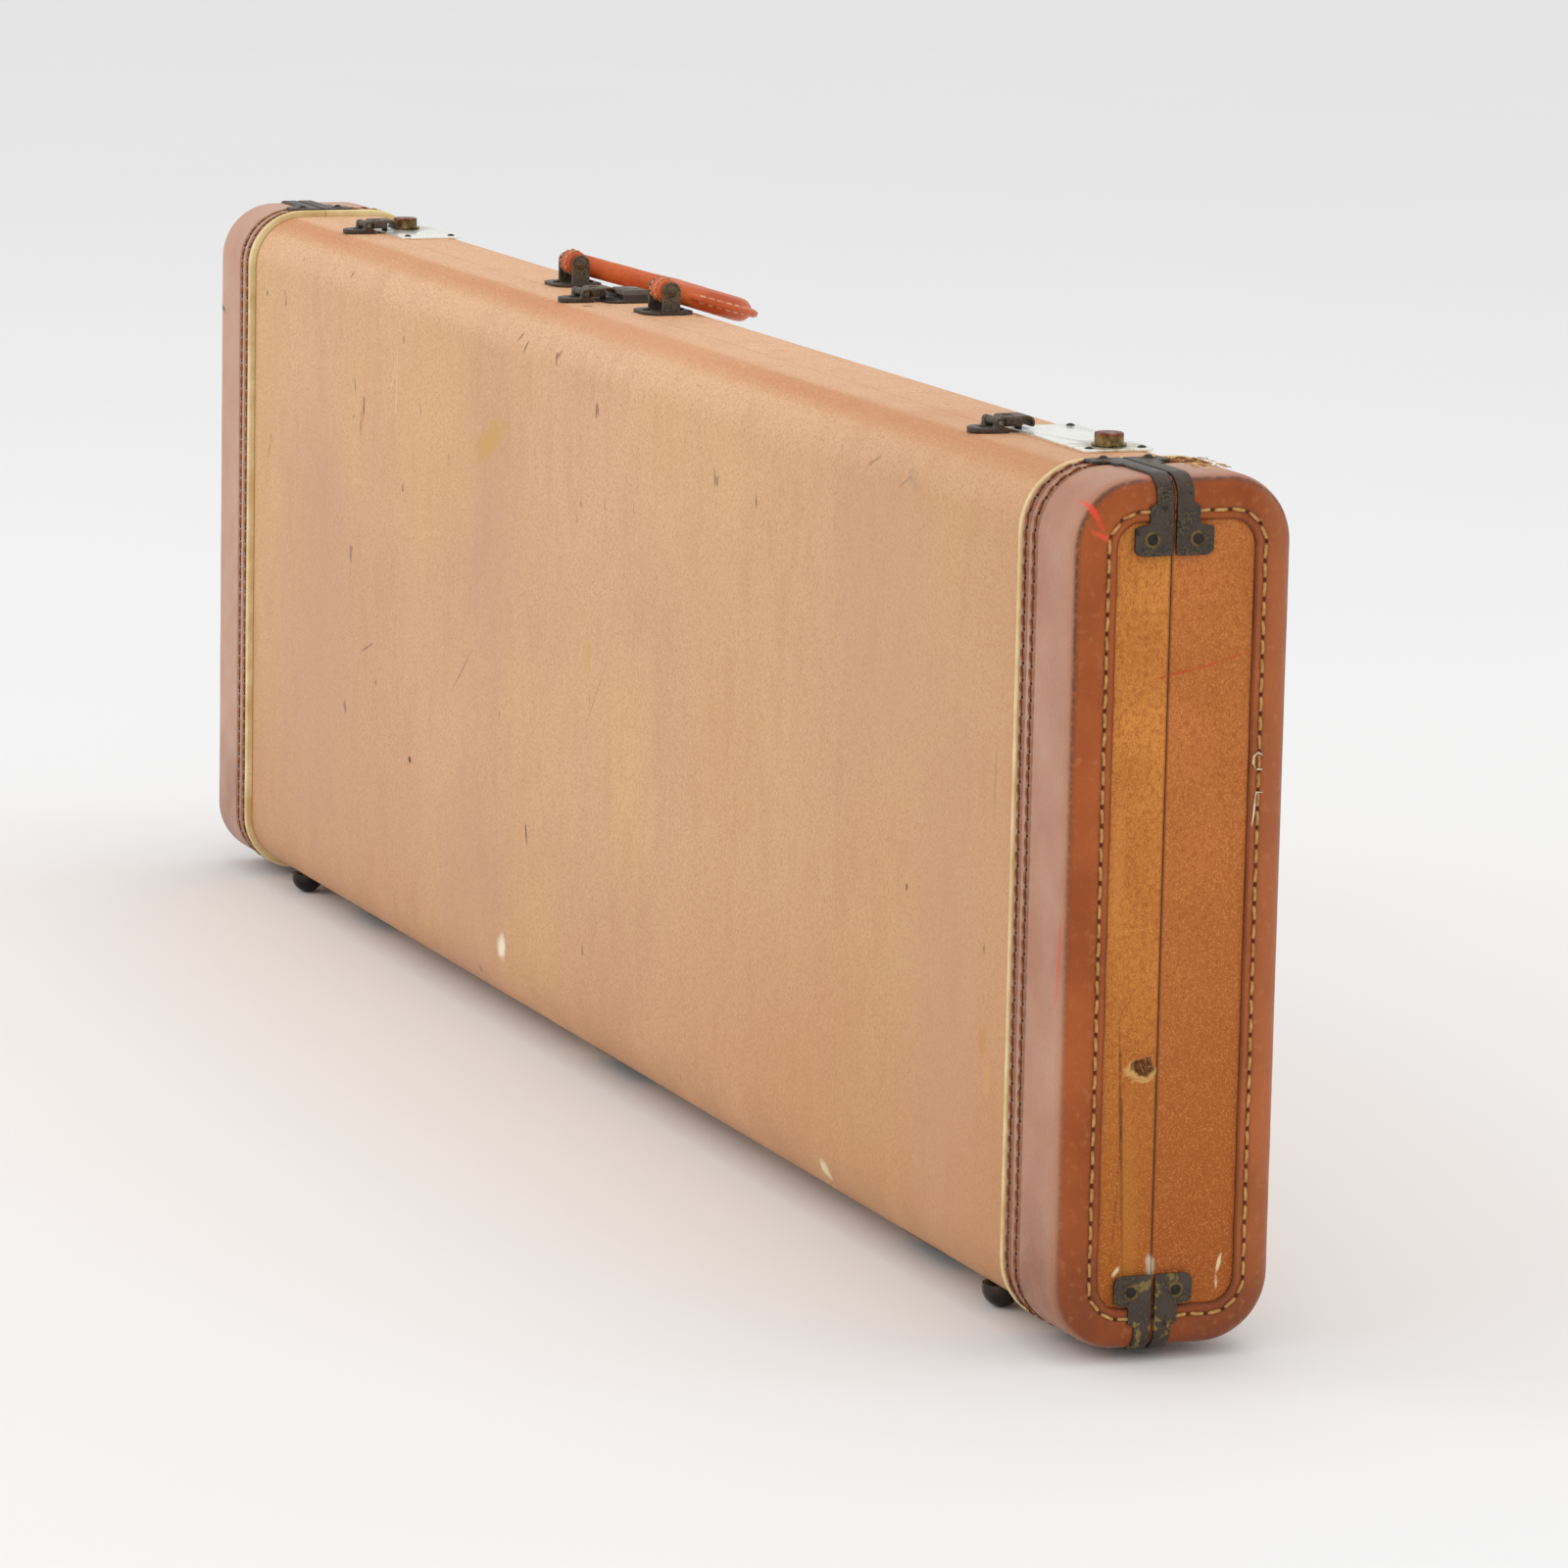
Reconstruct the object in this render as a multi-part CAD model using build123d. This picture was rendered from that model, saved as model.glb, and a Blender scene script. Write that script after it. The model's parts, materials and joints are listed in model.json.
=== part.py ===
from build123d import *
import os

# Vintage hard guitar case: two padded plywood halves in leatherette, with stitched leather
# ends, hinged along the long bottom edge and shut by two latches and a centre lock.
# Millimetres. X runs along the case, -Y is the lid side, +Z is up. The case stands on four
# domed feet, and the origin is on the floor below the middle of the case.

# ---------------------------------------------------------------- driving sizes
LENGTH = 1140.0  # over the leather ends
DEPTH = 94.0  # over the leather ends, both halves shut
HEIGHT = 350.0  # over the leather ends
CORNER = 28.0  # corner radius of the section at the leather ends
END_ROUND = 9.0  # rounding between a side and an end face
FOOT_HEIGHT = 5.0  # from the floor to the underside of the leather ends
SPLIT_Y = -6.0  # the plane where lid and base meet
SPLIT_GAP = 0.3

LEATHER = 2.6  # leather thickness, so the body section is smaller by this much all round
COVER = 0.8
PLY = 5.0
END_PLY = 9.4
LINING = 1.2
PAD = 8.0
END_PANEL = 1.0
BAND = 55.0  # length of the leather end along the case
LEATHER_FRAME = 17.5  # width of the leather border on the end face
PIPING = 2.6
PIPING_RISE = 0.6  # how far the piping stands above the leather

MID_Z = FOOT_HEIGHT + HEIGHT / 2
CAP_TOP = FOOT_HEIGHT + HEIGHT
TOP = CAP_TOP - LEATHER  # upper surface of the leatherette body
BOTTOM = FOOT_HEIGHT + LEATHER
END_X = LENGTH / 2
BOARD_X = END_X - LEATHER - END_PLY  # inner face of the end boards
BAND_X = END_X - BAND
BODY_CORNER = CORNER - LEATHER
WALL = COVER + PLY  # from the body surface to the lining
CAVITY = WALL + LINING  # from the body surface to the inside of the lining
PAD_FACE_BASE = DEPTH / 2 - LEATHER - CAVITY - PAD
PAD_FACE_LID = -PAD_FACE_BASE

HINGE_X = (-380.0, 0.0, 380.0)
HINGE_Z = 4.0
HINGE_R = 2.3
HINGE_PIN_R = 1.1
HINGE_LENGTH = 50.0
LEAF_WIDTH = 19.0
LEAF = 1.2

STRAP = 1.2
STRAP_WIDTH = 7.2
STRAP_STEP = 10.0
STRAP_FOOT = 16.0
STRAP_SET_BACK = 0.7  # from the split to the strap's straight edge
STRAP_DROP = 31.0  # how far a strap reaches along the end face
FOOT_LENGTH = 11.0
RIVET_R = 2.3

# One outer latch: where its hasp, its lock plate and its thumb button stand along the case.
LATCHES = {
    "left": {"hasp": -426.0, "plate": (-464.0, -388.0), "button": -434.0, "travel": 1},
    "right": {"hasp": 404.0, "plate": (396.0, 478.0), "button": 465.0, "travel": -1},
}
CENTRE_LOCK_X = -96.0
PLATE = 1.2
PLATE_Y = (-4.2, 27.0)
BUTTON_Y = 12.0
BUTTON_R = 6.0
BUTTON_HEIGHT = 5.0
BUTTON_TRAVEL = 8.0
STEM_R = 1.8

HASP_WIDTH = 16.0
HASP_FRONT_Y = -24.0
HASP_AXIS_Y = -13.0
HASP_AXIS_UP = 4.4  # height of the hasp's hinge above the case top
HASP_KNUCKLE_R = 2.0
HASP_PIN_R = 0.9
LEAF_TOP = 2.2  # thickness of the oval hasp base

BRACKETS = {"left": (-175.0, -156.0), "right": (-50.0, -31.0)}  # where the two ears stand
BRACKET_Y = 8.5
BRACKET_PLATE_Y = (-4.5, 20.5)
BRACKET_WIDTH = 25.0
BRACKET_PLATE = 1.5
EAR = 2.0
EAR_WIDTH = 8.6
PIN_UP = 11.0  # height of the handle pins above the case top
PIN_R = 2.0
RUNNING = 0.08  # radial clearance of a turning fit
HANDLE_REACH = 45.0  # from the pins to the middle of the grip
HANDLE_DROOP = 15.0  # degrees below level, folded down over the rear edge
HANDLE_BEND = 17.0  # radius of the two bends, along the middle of the leather
ARM_R = 5.0
GRIP_R = 5.8
CORE_R = 2.5
LINK_R = 3.4
SEAM = 2.2  # thickness of the stitched seam
SEAM_REACH = 6.6  # from the middle of the leather to the seam's edge

NECK_Z = MID_Z  # the guitar's centre line


# ---------------------------------------------------------------- helpers
def section(inset, corner=None):
    """Rounded rectangle across the case, set in from the leather's outer surface."""
    radius = CORNER - inset if corner is None else corner
    shape = RectangleRounded(DEPTH - 2 * inset, HEIGHT - 2 * inset, radius)
    return Plane.YZ * (Pos(0, MID_Z) * shape)


def bar(inset, x_from, x_to, corner=None):
    """The section pushed out along the case between two places."""
    return Pos(x_from, 0, 0) * extrude(section(inset, corner), amount=x_to - x_from)


def block(x, y, z):
    """Box from its lowest and highest corners, each given as a pair."""
    size = [pair[1] - pair[0] for pair in (x, y, z)]
    middle = [(pair[0] + pair[1]) / 2 for pair in (x, y, z)]
    return Pos(*middle) * Box(*size)


def rod_x(radius, x_from, x_to, y, z):
    """Cylinder along the case."""
    return Pos((x_from + x_to) / 2, y, z) * Rot(0, 90, 0) * Cylinder(radius, x_to - x_from)


def rod_z(radius, x, y, z_from, z_to):
    """Upright cylinder."""
    return Pos(x, y, (z_from + z_to) / 2) * Cylinder(radius, z_to - z_from)


def dome(radius, height):
    """Low dome standing on the XY plane."""
    ball_r = (radius**2 + height**2) / (2 * height)
    ball = Pos(0, 0, height - ball_r) * Sphere(ball_r)
    return ball & (Pos(0, 0, height / 2) * Cylinder(radius + 1, height))


def half(shape, side):
    """The part of a shape that belongs to the lid or to the base."""
    if side == "lid":
        keep = block((-LENGTH, LENGTH), (-DEPTH, SPLIT_Y - SPLIT_GAP / 2), (-HEIGHT, 2 * HEIGHT))
    else:
        keep = block((-LENGTH, LENGTH), (SPLIT_Y + SPLIT_GAP / 2, DEPTH), (-HEIGHT, 2 * HEIGHT))
    return shape & keep


def other_end(shape):
    """Copy at the other end of the case."""
    return mirror(shape, about=Plane.YZ)


def upside_down(shape):
    """Copy on the underside of the case."""
    return mirror(shape, about=Plane.XY.offset(MID_Z))


def save(name, *shapes):
    """Write one sub-part, as separate solids where it has several."""
    solids = [solid for shape in shapes for solid in shape.solids()]
    whole = solids[0] if len(solids) == 1 else Compound(children=solids)
    export_step(whole, f"parts/{name}.step")


def rounded_end(inset, x_from, x_to, radius):
    """A bar whose outer end edge is rounded over."""
    shape = bar(inset, x_from, x_to)
    return fillet(shape.faces().sort_by(Axis.X)[-1].edges(), radius)


# ---------------------------------------------------------------- the two halves
def plywood(side):
    """Flat panel, two curved rails and two end boards of one half."""
    tube = bar(LEATHER + COVER, -BOARD_X, BOARD_X) - bar(LEATHER + WALL, -BOARD_X, BOARD_X)
    shell = half(tube, side)
    flat_z = (BOTTOM + BODY_CORNER, TOP - BODY_CORNER)
    outside = (-DEPTH, DEPTH)
    ends = (-LENGTH, LENGTH)
    panel = shell & block(ends, outside, flat_z)
    top_rail = shell & block(ends, outside, (flat_z[1], 2 * HEIGHT))
    bottom_rail = shell & block(ends, outside, (-HEIGHT, flat_z[0]))
    face = "front" if side == "lid" else "back"
    save(f"{side}_{face}_panel", panel)
    save(f"{side}_top_rail", top_rail)
    save(f"{side}_bottom_rail", bottom_rail)
    board = half(rounded_end(LEATHER, BOARD_X, END_X - LEATHER, END_ROUND - LEATHER), side)
    save(f"{side}_end_board_right", board)
    save(f"{side}_end_board_left", other_end(board))


def skins(side):
    """Leatherette cover, leather ends, end panels, piping and lining of one half."""
    cover = bar(LEATHER, -BOARD_X, BOARD_X) - bar(LEATHER + COVER, -BOARD_X, BOARD_X)
    save(f"{side}_covering", half(cover, side))

    outer = rounded_end(0, BAND_X, END_X, END_ROUND)
    inner = rounded_end(LEATHER, 0, END_X - LEATHER, END_ROUND - LEATHER)
    window = bar(LEATHER_FRAME, 0, LENGTH)
    leather = half(outer - inner - window, side)
    save(f"{side}_leather_end_right", leather)
    save(f"{side}_leather_end_left", other_end(leather))

    panel = half(bar(LEATHER_FRAME, END_X - LEATHER, END_X - LEATHER + END_PANEL), side)
    save(f"{side}_end_panels", panel, other_end(panel))

    bead = bar(-PIPING_RISE, BAND_X - PIPING, BAND_X)
    rims = [face.outer_wire().edges() for face in bead.faces().sort_by(Axis.X)[:: len(bead.faces()) - 1]]
    bead = fillet(rims[0] + rims[1], PIPING * 0.45)
    bead = half(bead - bar(LEATHER, 0, END_X), side)
    save(f"{side}_piping", bead, other_end(bead))

    hollow = bar(LEATHER + CAVITY, -BOARD_X + LINING, BOARD_X - LINING)
    lining = bar(LEATHER + WALL, -BOARD_X, BOARD_X) - hollow
    save(f"{side}_lining", half(lining, side))
    pad_face = PAD_FACE_LID if side == "lid" else PAD_FACE_BASE
    pad_y = (-DEPTH, pad_face) if side == "lid" else (pad_face, DEPTH)
    save(f"{side}_pad", hollow & block((-LENGTH, LENGTH), pad_y, (-HEIGHT, 2 * HEIGHT)))


def corner_strap(side):
    """Steel strap bent over the upper edge of the right end, and its two rivets."""
    outer = Pos(0, 0) * RectangleRounded(LENGTH + 2 * STRAP, HEIGHT + 2 * STRAP, END_ROUND + STRAP)
    inner = RectangleRounded(LENGTH, HEIGHT, END_ROUND)
    away = -1 if side == "lid" else 1
    start = SPLIT_Y + away * STRAP_SET_BACK
    bend = Plane((0, 0, MID_Z), x_dir=(1, 0, 0), z_dir=(0, -1, 0)) * (outer - inner)
    band = extrude(bend, amount=DEPTH / 2, both=True)

    def strip(width, x, z):
        """Piece of the bent band of one width."""
        across = sorted((start, start + away * width))
        return band & block(x, across, z)

    end_low = CAP_TOP - STRAP_DROP
    foot_x = BAND_X + 1.5
    whole = strip(STRAP_WIDTH, (foot_x, LENGTH), (end_low, CAP_TOP + STRAP))
    whole += strip(STRAP_FOOT, (END_X - 1, LENGTH), (end_low, end_low + FOOT_LENGTH))
    whole += strip(STRAP_STEP, (END_X - 1, LENGTH), (end_low, end_low + FOOT_LENGTH + 7))
    whole += strip(STRAP_FOOT, (foot_x, foot_x + FOOT_LENGTH), (CAP_TOP, CAP_TOP + STRAP))
    whole += strip(STRAP_STEP, (foot_x, foot_x + FOOT_LENGTH + 7), (CAP_TOP, CAP_TOP + STRAP))

    head = dome(RIVET_R, 1.4)
    rivet_y = start + away * (STRAP_FOOT / 2 + 1)
    on_end = Pos(END_X + STRAP, rivet_y, end_low + FOOT_LENGTH * 0.6) * Rot(0, 90, 0) * head
    on_top = Pos(foot_x + FOOT_LENGTH / 2, rivet_y, CAP_TOP + STRAP) * head
    return whole, [on_end, on_top]


def corner_straps(side):
    """All four straps of one half."""
    strap, rivets = corner_strap(side)
    straps = [strap, other_end(strap), upside_down(strap), other_end(upside_down(strap))]
    heads = []
    for rivet in rivets:
        heads += [rivet, other_end(rivet), upside_down(rivet), other_end(upside_down(rivet))]
    save(f"{side}_corner_straps", *straps)
    save(f"{side}_strap_rivets", *heads)


def feet(side):
    """Two domed feet under one half."""
    away = -1 if side == "lid" else 1
    body = bar(LEATHER, -BAND_X, BAND_X)
    stud = Pos(468, away * 27.0, 10) * Rot(180, 0, 0) * dome(8.0, 10.0)
    stud = stud - body
    save(f"{side}_feet", stud, other_end(stud))


# ---------------------------------------------------------------- hinges
def hinges():
    """Three butt hinges under the split: leaves of each half and their pins."""
    lid_leaves, base_leaves, pins = [], [], []
    knuckle = HINGE_LENGTH / 3
    for x in HINGE_X:
        x_lid = (x - knuckle / 2 + 0.15, x + knuckle / 2 - 0.15)
        bore = rod_x(HINGE_PIN_R + RUNNING, x - HINGE_LENGTH, x + HINGE_LENGTH, SPLIT_Y, HINGE_Z)
        knuckle_z = (HINGE_Z, BOTTOM)
        lid_leaf = block((x - 25, x + 25), (SPLIT_Y - LEAF_WIDTH, SPLIT_Y - 3), (BOTTOM - LEAF, BOTTOM))
        lid_leaf += rod_x(HINGE_R, *x_lid, SPLIT_Y, HINGE_Z)
        lid_leaf += block(x_lid, (SPLIT_Y - 3, SPLIT_Y - 1), knuckle_z)
        lid_leaves.append(lid_leaf - bore)
        base_leaf = block((x - 25, x + 25), (SPLIT_Y + 3, SPLIT_Y + LEAF_WIDTH), (BOTTOM - LEAF, BOTTOM))
        for x_base in ((x - 25, x - knuckle / 2 - 0.15), (x + knuckle / 2 + 0.15, x + 25)):
            base_leaf += rod_x(HINGE_R, *x_base, SPLIT_Y, HINGE_Z)
            base_leaf += block(x_base, (SPLIT_Y + 1, SPLIT_Y + 3), knuckle_z)
        tight = rod_x(HINGE_PIN_R, x - HINGE_LENGTH, x + HINGE_LENGTH, SPLIT_Y, HINGE_Z)
        base_leaves.append(base_leaf - tight)
        pins.append(rod_x(HINGE_PIN_R, x - 25, x + 25, SPLIT_Y, HINGE_Z))
    save("lid_hinge_leaves", *lid_leaves)
    save("base_hinge_leaves", *base_leaves)
    save("hinge_pins", *pins)


# ---------------------------------------------------------------- latches and lock
def hasp_base(x):
    """Oval plate riveted to the lid, with two knuckles for the hasp."""
    radius = HASP_WIDTH / 2
    front = HASP_FRONT_Y + radius
    plate = rod_z(radius, x, front, TOP, TOP + LEAF_TOP)
    plate += block((x - radius, x + radius), (front, -9.0), (TOP, TOP + LEAF_TOP))
    plate -= rod_z(3.0, x, front, TOP + 1.0, TOP + 5)
    for side in (-1, 1):
        x_pair = sorted((x + side * 4.2, x + side * radius))
        axis_z = TOP + HASP_AXIS_UP
        plate += rod_x(HASP_KNUCKLE_R, *x_pair, HASP_AXIS_Y, axis_z)
        low_y = (HASP_AXIS_Y - HASP_KNUCKLE_R, HASP_AXIS_Y + HASP_KNUCKLE_R)
        plate += block(x_pair, low_y, (TOP + 1, axis_z))
    return plate - rod_x(HASP_PIN_R, x - radius - 1, x + radius + 1, HASP_AXIS_Y, TOP + HASP_AXIS_UP)


def hasp(x):
    """Moving hasp: knuckle, raised boss with a hole, curled finger lip and a catch below."""
    axis_z = TOP + HASP_AXIS_UP
    floor_z = TOP + LEAF_TOP + 0.4
    top_z = TOP + 6.8
    knuckle = rod_x(HASP_KNUCKLE_R, x - 3.9, x + 3.9, HASP_AXIS_Y, axis_z)
    neck = block((x - 3.9, x + 3.9), (HASP_AXIS_Y, HASP_AXIS_Y + 3.2), (floor_z, axis_z + 1.6))
    boss = block((x - 7, x + 7), (HASP_AXIS_Y + 2.4, -2.0), (floor_z, top_z))
    boss = fillet(boss.edges().filter_by(Axis.Z), 2.0)
    boss = fillet(boss.faces().sort_by(Axis.Z)[-1].edges(), 1.2)
    boss -= rod_z(2.4, x, -6.8, top_z - 1.8, top_z + 1)
    lip_r = 3.0
    curl = rod_x(lip_r, x - 6, x + 6, 0.4, top_z - lip_r) - rod_x(lip_r - 1.3, x - 9, x + 9, 0.4, top_z - lip_r)
    curl &= block((x - 9, x + 9), (0.4, 9), (top_z - 4.6, top_z + 1))
    bridge = block((x - 6, x + 6), (-3.2, 0.4), (top_z - 1.3, top_z))
    catch = block((x - 2.5, x + 2.5), (-2.6, -1.0), (TOP + 0.3, top_z - 1))
    whole = knuckle + neck + boss + bridge + curl + catch
    return whole - rod_x(HASP_PIN_R + RUNNING, x - 9, x + 9, HASP_AXIS_Y, axis_z)


def latches():
    """The two outer latches and their thumb buttons, and the centre lock."""
    plate_rivets = []
    hasp_places = {"centre": CENTRE_LOCK_X}
    for name, latch in LATCHES.items():
        hasp_places[name] = latch["hasp"]
        plate = block(latch["plate"], PLATE_Y, (TOP, TOP + PLATE))
        plate = fillet(plate.edges().filter_by(Axis.Z), 3.0)
        plate -= block((latch["hasp"] - 3.2, latch["hasp"] + 3.2), (-3.4, 0.6), (TOP - 1, TOP + 5))
        run = sorted((latch["button"], latch["button"] + latch["travel"] * BUTTON_TRAVEL))
        wide = STEM_R + 0.3
        slot = block(run, (BUTTON_Y - wide, BUTTON_Y + wide), (TOP - 1, TOP + 5))
        for x in run:
            slot += rod_z(wide, x, BUTTON_Y, TOP - 1, TOP + 5)
        save(f"lock_plate_{name}", plate - slot)
        stem = rod_z(STEM_R, latch["button"], BUTTON_Y, TOP + 0.2, TOP + PLATE + 1)
        flange = rod_z(BUTTON_R + 1.2, latch["button"], BUTTON_Y, TOP + PLATE + 0.2, TOP + PLATE + 0.9)
        knob = rod_z(BUTTON_R, latch["button"], BUTTON_Y, TOP + PLATE + 0.5, TOP + PLATE + 0.5 + BUTTON_HEIGHT)
        knob = fillet(knob.faces().sort_by(Axis.Z)[-1].edges(), 0.7)
        save(f"thumb_button_{name}", stem + flange + knob)
        for x in (latch["plate"][0] + 5, latch["plate"][1] - 5):
            for y in (PLATE_Y[0] + 4, PLATE_Y[1] - 4):
                if abs(x - latch["hasp"]) > 10 or y > 5:
                    plate_rivets.append(Pos(x, y, TOP + PLATE) * dome(2.0, 0.9))
    save("lock_plate_rivets", *plate_rivets)

    x = CENTRE_LOCK_X
    case = block((x - 15, x + 15), (PLATE_Y[0], 22), (TOP, TOP + PLATE))
    case = fillet(case.edges().filter_by(Axis.Z), 5.0)
    raised = block((x - 11, x + 11), (4.6, 19.4), (TOP + PLATE - 0.2, TOP + 5.6))
    raised = chamfer(raised.faces().sort_by(Axis.Z)[-1].edges(), 2.0)
    case += raised
    case -= block((x - 3.2, x + 3.2), (-3.4, 0.6), (TOP - 1, TOP + 1.6))
    case -= rod_z(3.6, x, 12, TOP + 0.4, TOP + 9)
    save("centre_lock_case", case)
    plug = rod_z(3.5, x, 12, TOP + 0.5, TOP + 5.9)
    plug -= block((x - 0.5, x + 0.5), (10.0, 14.0), (TOP + 2.5, TOP + 9))
    save("key_plug", plug)

    bases, pins, heads = [], [], []
    for name, x in hasp_places.items():
        bases.append(hasp_base(x))
        pins.append(rod_x(HASP_PIN_R, x - 8, x + 8, HASP_AXIS_Y, TOP + HASP_AXIS_UP))
        heads.append(Pos(x, HASP_FRONT_Y + HASP_WIDTH / 2, TOP + 1.0) * dome(2.2, 0.8))
        save(f"hasp_{name}", hasp(x))
    save("hasp_bases", *bases)
    save("hasp_pins", *pins)
    save("hasp_rivets", *heads)


# ---------------------------------------------------------------- handle
def bracket(ears):
    """Oblong plate with two upright ears that hold a handle pin."""
    middle = sum(ears) / 2
    x_pair = (middle - BRACKET_WIDTH / 2, middle + BRACKET_WIDTH / 2)
    plate = block(x_pair, BRACKET_PLATE_Y, (TOP, TOP + BRACKET_PLATE))
    whole = fillet(plate.edges().filter_by(Axis.Z), 8.0)
    pin_z = TOP + PIN_UP
    for x in ears:
        x_ear = (x - EAR / 2, x + EAR / 2)
        y_ear = (BRACKET_Y - EAR_WIDTH / 2, BRACKET_Y + EAR_WIDTH / 2)
        whole += block(x_ear, y_ear, (TOP + 0.5, pin_z)) + rod_x(EAR_WIDTH / 2, *x_ear, BRACKET_Y, pin_z)
    return whole - rod_x(PIN_R, ears[0] - 9, ears[1] + 9, BRACKET_Y, pin_z)


def handle_pin(ears):
    """Pin through both ears with a round head at each end."""
    pin_z = TOP + PIN_UP
    shank = rod_x(PIN_R, ears[0] - EAR / 2, ears[1] + EAR / 2, BRACKET_Y, pin_z)
    left = Pos(ears[0] - EAR / 2, BRACKET_Y, pin_z) * Rot(0, -90, 0) * dome(2.8, 1.2)
    right = Pos(ears[1] + EAR / 2, BRACKET_Y, pin_z) * Rot(0, 90, 0) * dome(2.8, 1.2)
    return shank + left + right


def loop(radius, arm_start, x_left, x_right):
    """Round bar bent to a U, level with the pins and open towards them."""
    path = FilletPolyline(
        (x_left, arm_start, 0),
        (x_left, HANDLE_REACH, 0),
        (x_right, HANDLE_REACH, 0),
        (x_right, arm_start, 0),
        radius=HANDLE_BEND,
    )
    start = Plane(origin=path @ 0, z_dir=path % 0)
    return sweep(start * Circle(radius), path=path)


def handle():
    """Brackets, pins and the leather loop, folded down over the rear edge."""
    pin_z = TOP + PIN_UP
    middles = [sum(ears) / 2 for ears in BRACKETS.values()]
    x_left, x_right = middles
    leather = loop(ARM_R, 0, x_left, x_right)
    grip_x = (x_left + HANDLE_BEND + 2, x_right - HANDLE_BEND - 2)
    leather += rod_x(GRIP_R, *grip_x, HANDLE_REACH, 0)
    reach = HANDLE_REACH + SEAM_REACH
    seam = RectangleRounded(x_right - x_left + 2 * SEAM_REACH, 2 * reach, HANDLE_BEND + SEAM_REACH)
    seam -= RectangleRounded(x_right - x_left, 2 * HANDLE_REACH, HANDLE_BEND)
    seam = Pos((x_left + x_right) / 2, 0, -SEAM / 2) * extrude(seam, amount=SEAM)
    leather += seam & block((x_left - 20, x_right + 20), (11, 90), (-SEAM, SEAM))
    links, pins, rivets = [], [], []
    for x in middles:
        leather += rod_x(ARM_R + 0.4, x - ARM_R - 0.6, x + ARM_R + 0.6, 0, 0)
        link = rod_x(LINK_R, x - 7.8, x + 7.8, 0, 0) - rod_x(PIN_R + RUNNING, x - 9, x + 9, 0, 0)
        links.append(link)
        leather -= rod_x(LINK_R, x - 9, x + 9, 0, 0)
    core = loop(CORE_R, 7, x_left, x_right)
    folded = Pos(0, BRACKET_Y, pin_z) * Rot(-HANDLE_DROOP, 0, 0)
    save("handle_grip", folded * (leather - core))
    save("handle_core", folded * core)
    save("handle_links", *[folded * link for link in links])
    for name, ears in BRACKETS.items():
        save(f"handle_bracket_{name}", bracket(ears))
        pins.append(handle_pin(ears))
        for y in (BRACKET_PLATE_Y[0] + 4, BRACKET_PLATE_Y[1] - 4):
            rivets.append(Pos(sum(ears) / 2, y, TOP + BRACKET_PLATE) * dome(2.2, 1.0))
    save("handle_pins", *pins)
    save("bracket_rivets", *rivets)


# ---------------------------------------------------------------- inside
def fittings():
    """Padded supports for the guitar and an open accessory compartment, all in the base."""
    hollow = bar(LEATHER + CAVITY, -BOARD_X + LINING, BOARD_X - LINING)
    deep = (SPLIT_Y + 3, PAD_FACE_BASE)
    cradle = block((130, 172), deep, (NECK_Z - 75, NECK_Z + 75))
    cradle = fillet(cradle.edges().filter_by(Axis.Y), 8.0)
    notch = block((100, 200), (deep[0] - 20, 14), (NECK_Z - 30, NECK_Z + 30))
    save("neck_rest", cradle - fillet(notch.edges().filter_by(Axis.X), 8.0))

    head_block = block((436, 484), (13, PAD_FACE_BASE), (NECK_Z - 60, NECK_Z + 60))
    save("headstock_rest", fillet(head_block.edges().filter_by(Axis.Y), 10.0))

    all_z = (BOTTOM, TOP)
    corners = hollow & block((-LENGTH, -460), deep, all_z)
    bout = Pos(-388, 0, NECK_Z) * Rot(90, 0, 0) * Cylinder(162, 200)
    save("bout_pads", corners - bout - block((-LENGTH, 0), deep, (NECK_Z - 70, NECK_Z + 70)))
    waist = Pos(-235, 0, BOTTOM - 4) * Rot(90, 0, 0) * Cylinder(56, 200)
    lower = hollow & waist & block((-LENGTH, LENGTH), deep, all_z)
    save("waist_pads", lower, upside_down(lower))

    board = 4.0
    x_walls = (190.0, 350.0)
    wall_top = 132.0
    for name, x in zip(("inner", "outer"), x_walls):
        wall = block((x, x + board), deep, (BOTTOM, wall_top))
        save(f"compartment_{name}_wall", hollow & wall)
    save("compartment_side_wall", block((x_walls[0] + board, x_walls[1]), deep, (wall_top - board, wall_top)))


os.makedirs("parts", exist_ok=True)
for part_side in ("base", "lid"):
    plywood(part_side)
    skins(part_side)
    corner_straps(part_side)
    feet(part_side)
hinges()
latches()
handle()
fittings()
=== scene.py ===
import json
import math
import random

import bmesh
import bpy
from mathutils import Matrix, Vector, noise

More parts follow.
